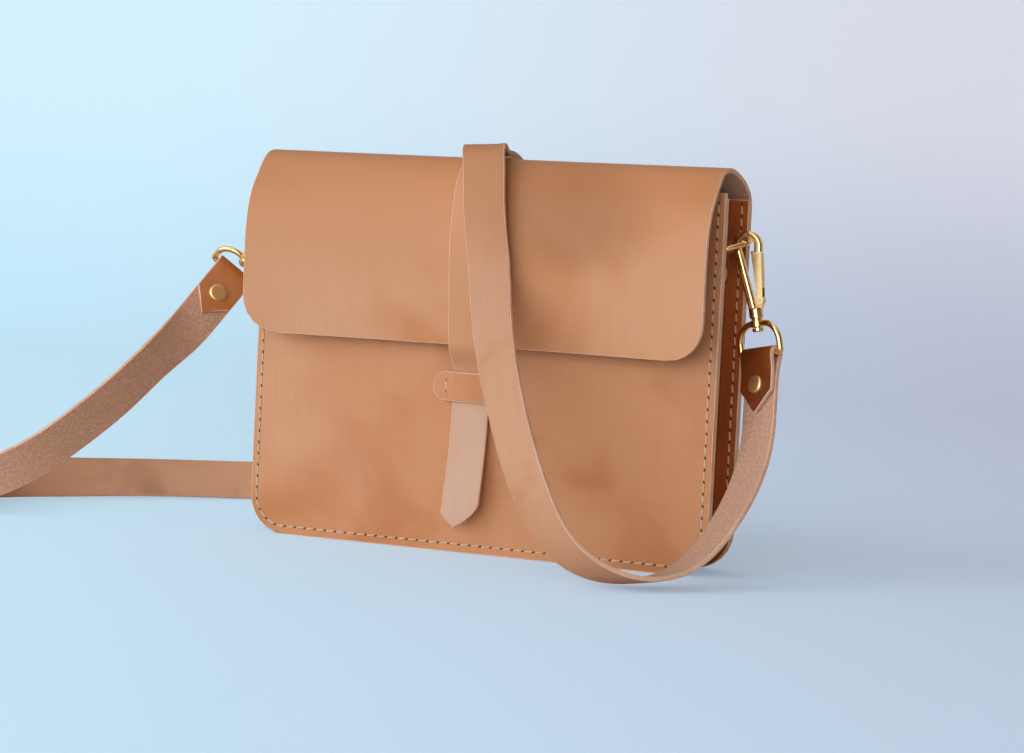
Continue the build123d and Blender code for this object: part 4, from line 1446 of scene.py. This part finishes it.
# %% Seams
SEAM_INSET = 3 * MM
SEAM_RISE = 0.5 * MM
KEEPER_STITCH_INSET = 6.7 * MM
LOOK_AHEAD = 0.5 * MM
FLANGE_FACE = FLANGE_MID - GUSSET_T / 2
front_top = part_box("front_seam_thread")[1].z
back_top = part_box("flap_margin")[0].z - 1.5 * MM


def even_places(length):
    """Middles of the stitches along a seam, at the pitch that divides it evenly."""
    count = round(length / STITCH_PITCH)
    return (np.arange(count) + 0.5) / count * length


def seam_points(top):
    """Even stitch centres and directions in (x, z) along the U seam."""
    half = PANEL_W / 2 - SEAM_INSET
    low = SEAM_INSET + SEAM_RISE
    r = CORNER_R - SEAM_INSET
    line = [(half, z) for z in np.linspace(top, low + r, 60)]
    for a in np.linspace(0.05, math.pi / 2, 20):
        line.append((half - r + r * math.cos(a), low + r - r * math.sin(a)))
    line += [(x, low) for x in np.linspace(half - r, 0, 60)[1:]]
    line += [(-x, z) for x, z in reversed(line[:-1])]
    line = np.array(line)
    run = along_line(line)
    spots = even_places(run[-1])
    at = point_at(spots, run, line)
    ahead = point_at(spots + LOOK_AHEAD, run, line)
    return at, unit(ahead - at)


def seam_rows(panel_y, flange_y, outward, top):
    """One row on the panel up to its top, and one inside the flange up to the gusset's."""
    rows = []
    for y, sign, high in ((panel_y, outward, top), (flange_y, -outward, front_top)):
        at, way = seam_points(high)
        out = np.array((0.0, sign, 0.0))
        row = []
        for (x, z), (u, v) in zip(at, way):
            row.append((np.array((x, y, z)), np.array((u, 0.0, v)), out))
        rows.append(row)
    return rows


sew("front_stitches", seam_rows(FRONT_Y, MID_Y - FLANGE_FACE, -1, front_top), "front_seam_thread")
sew("back_stitches", seam_rows(REAR_Y, MID_Y + FLANGE_FACE, 1, back_top), "back_seam_thread")


def flap_seam_row():
    low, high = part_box("flap_seam_thread")
    margin_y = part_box("flap_margin")[1].y
    z = (low.z + high.z) / 2
    half = FLAP_W / 2 - SEAM_INSET
    along = np.array((1.0, 0, 0))
    out = np.array((0.0, 1.0, 0.0))
    return [(np.array((x - half, margin_y, z)), along, out) for x in even_places(2 * half)]


sew("flap_stitches", [flap_seam_row()], "flap_seam_thread")


def keeper_rows():
    """One upright stitch at each side of the closure strap."""
    low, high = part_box("keeper_thread")
    half = (keeper_high.x - keeper_low.x) / 2 - KEEPER_STITCH_INSET
    z = (low.z + high.z) / 2
    along = np.array((0, 0, 1.0))
    out = np.array((0.0, -1.0, 0.0))
    places = [np.array((TONGUE_X + way * half, FRONT_Y - KEEPER_T, z)) for way in (-1, 1)]
    return [[(centre, along, out)] for centre in places]


sew("keeper_stitches", keeper_rows(), "keeper_thread")

# %% [markdown]
# ## Hardware
# The rings, hooks, loops, studs and rivets keep their CAD shape, which is the real one, and take
# a polished brass. Polished metal is nearly all reflection, so it needs a fine unevenness of
# roughness and tone, small scratches, and something dark as well as something bright around it.

# %% Brass and steel
BRASS_BRIGHT = (0.92, 0.68, 0.34, 1)
BRASS_DEEP = (0.84, 0.54, 0.22, 1)
STEEL_DARK = (0.5, 0.48, 0.45, 1)
STEEL_PALE = (0.65, 0.63, 0.6, 1)
POLISHED = 0.08
BRUSHED = 0.3


def brass_material(name, dull):
    material, tree, shader = start_material(name)
    cloud = noise(tree, where(tree), 260.0, 3.0)
    scratch = noise(tree, stretched(tree, where(tree), (1.0, 1.0, 0.08)), 5200.0, 2.0)
    tone = mixed(tree, contrast(tree, cloud, 0.4, 0.65), BRASS_BRIGHT, BRASS_DEEP)
    tree.links.new(tone, shader.inputs["Base Color"])
    shader.inputs["Metallic"].default_value = 1.0
    rough = maths(tree, "MULTIPLY_ADD", cloud, 0.14, dull)
    rough = maths(tree, "MULTIPLY_ADD", contrast(tree, scratch, 0.6, 0.8), 0.1, rough)
    tree.links.new(rough, shader.inputs["Roughness"])
    bump(tree, shader, scratch, 0.08, 0.05 * MM)
    return material


def steel_material():
    material, tree, shader = start_material("spring steel")
    lines = noise(tree, stretched(tree, where(tree), (1.0, 1.0, 0.1)), 3000.0, 3.0)
    tree.links.new(mixed(tree, lines, STEEL_DARK, STEEL_PALE), shader.inputs["Base Color"])
    shader.inputs["Metallic"].default_value = 1.0
    shader.inputs["Roughness"].default_value = 0.35
    bump(tree, shader, lines, 0.15, 0.05 * MM)
    return material


BRASS = brass_material("polished brass", POLISHED)
CAP_BRASS = brass_material("brushed brass", BRUSHED)
STEEL = steel_material()
METAL_NODES = {
    "d_ring": BRASS,
    "snap_hook": BRASS,
    "snap_gate": BRASS,
    "swivel_stud": BRASS,
    "swivel_loop": BRASS,
    "strap_rivet": CAP_BRASS,
    "d_ring_rivets": CAP_BRASS,
    "gate_pin": STEEL,
    "gate_spring": STEEL,
}
for kind, material in METAL_NODES.items():
    for side in SIDES:
        node = frame["nodes"][kind + "_" + side]
        node.data.materials.clear()
        node.data.materials.append(material)
print("metal pieces", 2 * len(METAL_NODES))

# %% [markdown]
# ## Floor, light and background
# The bag stands on a pale cloth that rises in a soft curve behind it. Two large, slightly cool lamps
# light it: a window at the left and a room in front. The world adds a warm, weak light that fades
# to the right, so the right side stays in shadow. The camera alone sees the cloth glow in pale blue tones,
# a painted light, which turn greyer to the right as painted shade, and the light that the cloth throws
# back stays neutral.

# %% Backdrop
FLOOR_FRONT = -3.0
FLOOR_REAR = 1.1
RISE_R = 0.9
WALL_TOP = 4.0
HALF_SPAN = 5.0
# Each pair: the cloth's tone at the left, then the painted shade it turns to at the right.
WALL_LIT_TO_SHADE = (0.6, 0.84, 1.0, 1), (0.62, 0.67, 0.78, 1)
GROUND_LIT_TO_SHADE = (0.52, 0.82, 1.0, 1), (0.46, 0.52, 0.68, 1)
CLOTH_GREY = (0.8, 0.79, 0.78, 1)
CLOTH_GLOW = 0.43


def cloth_material():
    material, tree, shader = start_material("pale cloth")
    at = where_parts(tree)
    sideways = maths(tree, "MULTIPLY_ADD", at["Y"], 0.45, at["X"])
    # The cloth is painted greyer to the right: painted shade.
    right_shade = contrast(tree, sideways, -0.55, 0.55)
    risen = contrast(tree, at["Z"], 0.0, 0.3)
    tone = mixed(tree, risen, mixed(tree, right_shade, *GROUND_LIT_TO_SHADE), mixed(tree, right_shade, *WALL_LIT_TO_SHADE))
    seen = tree.nodes.new("ShaderNodeLightPath").outputs["Is Camera Ray"]
    tree.links.new(mixed(tree, seen, CLOTH_GREY, tone), shader.inputs["Base Color"])
    # Only camera rays see the cloth glow: painted light.
    tree.links.new(tone, shader.inputs["Emission Color"])
    tree.links.new(maths(tree, "MULTIPLY", seen, CLOTH_GLOW), shader.inputs["Emission Strength"])
    shader.inputs["Roughness"].default_value = 0.9
    return material


def backdrop():
    depth = [(FLOOR_FRONT, 0.0), (FLOOR_REAR, 0.0)]
    for a in np.linspace(0.1, math.pi / 2, 24):
        depth.append((FLOOR_REAR + RISE_R * math.sin(a), RISE_R - RISE_R * math.cos(a)))
    depth.append((FLOOR_REAR + RISE_R, WALL_TOP))
    points = [(x, y, z) for y, z in depth for x in (-HALF_SPAN, HALF_SPAN)]
    faces = [(2 * i, 2 * i + 1, 2 * i + 3, 2 * i + 2) for i in range(len(depth) - 1)]
    mesh = bpy.data.meshes.new("backdrop")
    mesh.from_pydata(points, [], faces)
    for polygon in mesh.polygons:
        polygon.use_smooth = True
    mesh.materials.append(cloth_material())
    made = into_scene("backdrop", mesh)
    print("backdrop", len(mesh.polygons), "faces")


backdrop()

# %% Lamps and world
LAMPS_AIM = Vector((0, 0, 0.08))
LAMP_COLOUR = (0.97, 0.985, 1.0)
# Name, place, size and power in watts.
LAMPS = [("window", (-1.9, -2.1, 0.9), 3.0, 48), ("room", (0.5, -2.7, 0.4), 2.2, 40)]
ROOM_WARM = (0.88, 0.76, 0.68, 1)
ROOM_SEEN = (0.93, 0.95, 1.0, 1)
ROOM_DIM = (0.2, 0.14, 0.1, 1)
ROOM_STRENGTH = 0.52


def area_light(name, place, size, power):
    data = bpy.data.lights.new(name, "AREA")
    data.shape = "DISK"
    data.size = size
    data.energy = power
    data.color = LAMP_COLOUR
    light = into_scene(name, data)
    light.location = place
    light.rotation_euler = (LAMPS_AIM - Vector(place)).to_track_quat("-Z", "Y").to_euler()


def world_light():
    world = bpy.data.worlds.new("surround")
    world.use_nodes = True
    tree = world.node_tree
    background = tree.nodes["Background"]
    path = tree.nodes.new("ShaderNodeLightPath")
    seen = maths(tree, "MAXIMUM", path.outputs["Is Camera Ray"], path.outputs["Is Glossy Ray"])
    seen = maths(tree, "MAXIMUM", seen, path.outputs["Is Transmission Ray"])
    right_shade = contrast(tree, where_parts(tree, "Generated")["X"], -0.1, 0.75)
    dim = maths(tree, "MULTIPLY", right_shade, maths(tree, "SUBTRACT", 1.0, path.outputs["Is Camera Ray"]))
    colour = mixed(tree, seen, ROOM_WARM, ROOM_SEEN)
    tree.links.new(mixed(tree, dim, colour, ROOM_DIM), background.inputs["Color"])
    strength = maths(tree, "MULTIPLY_ADD", seen, 1 - ROOM_STRENGTH, ROOM_STRENGTH)
    tree.links.new(strength, background.inputs["Strength"])
    bpy.context.scene.world = world


world_light()
for lamp in LAMPS:
    area_light(*lamp)
bpy.context.scene.view_settings.view_transform = "Standard"
print("lamps", [name for name, *_ in LAMPS])
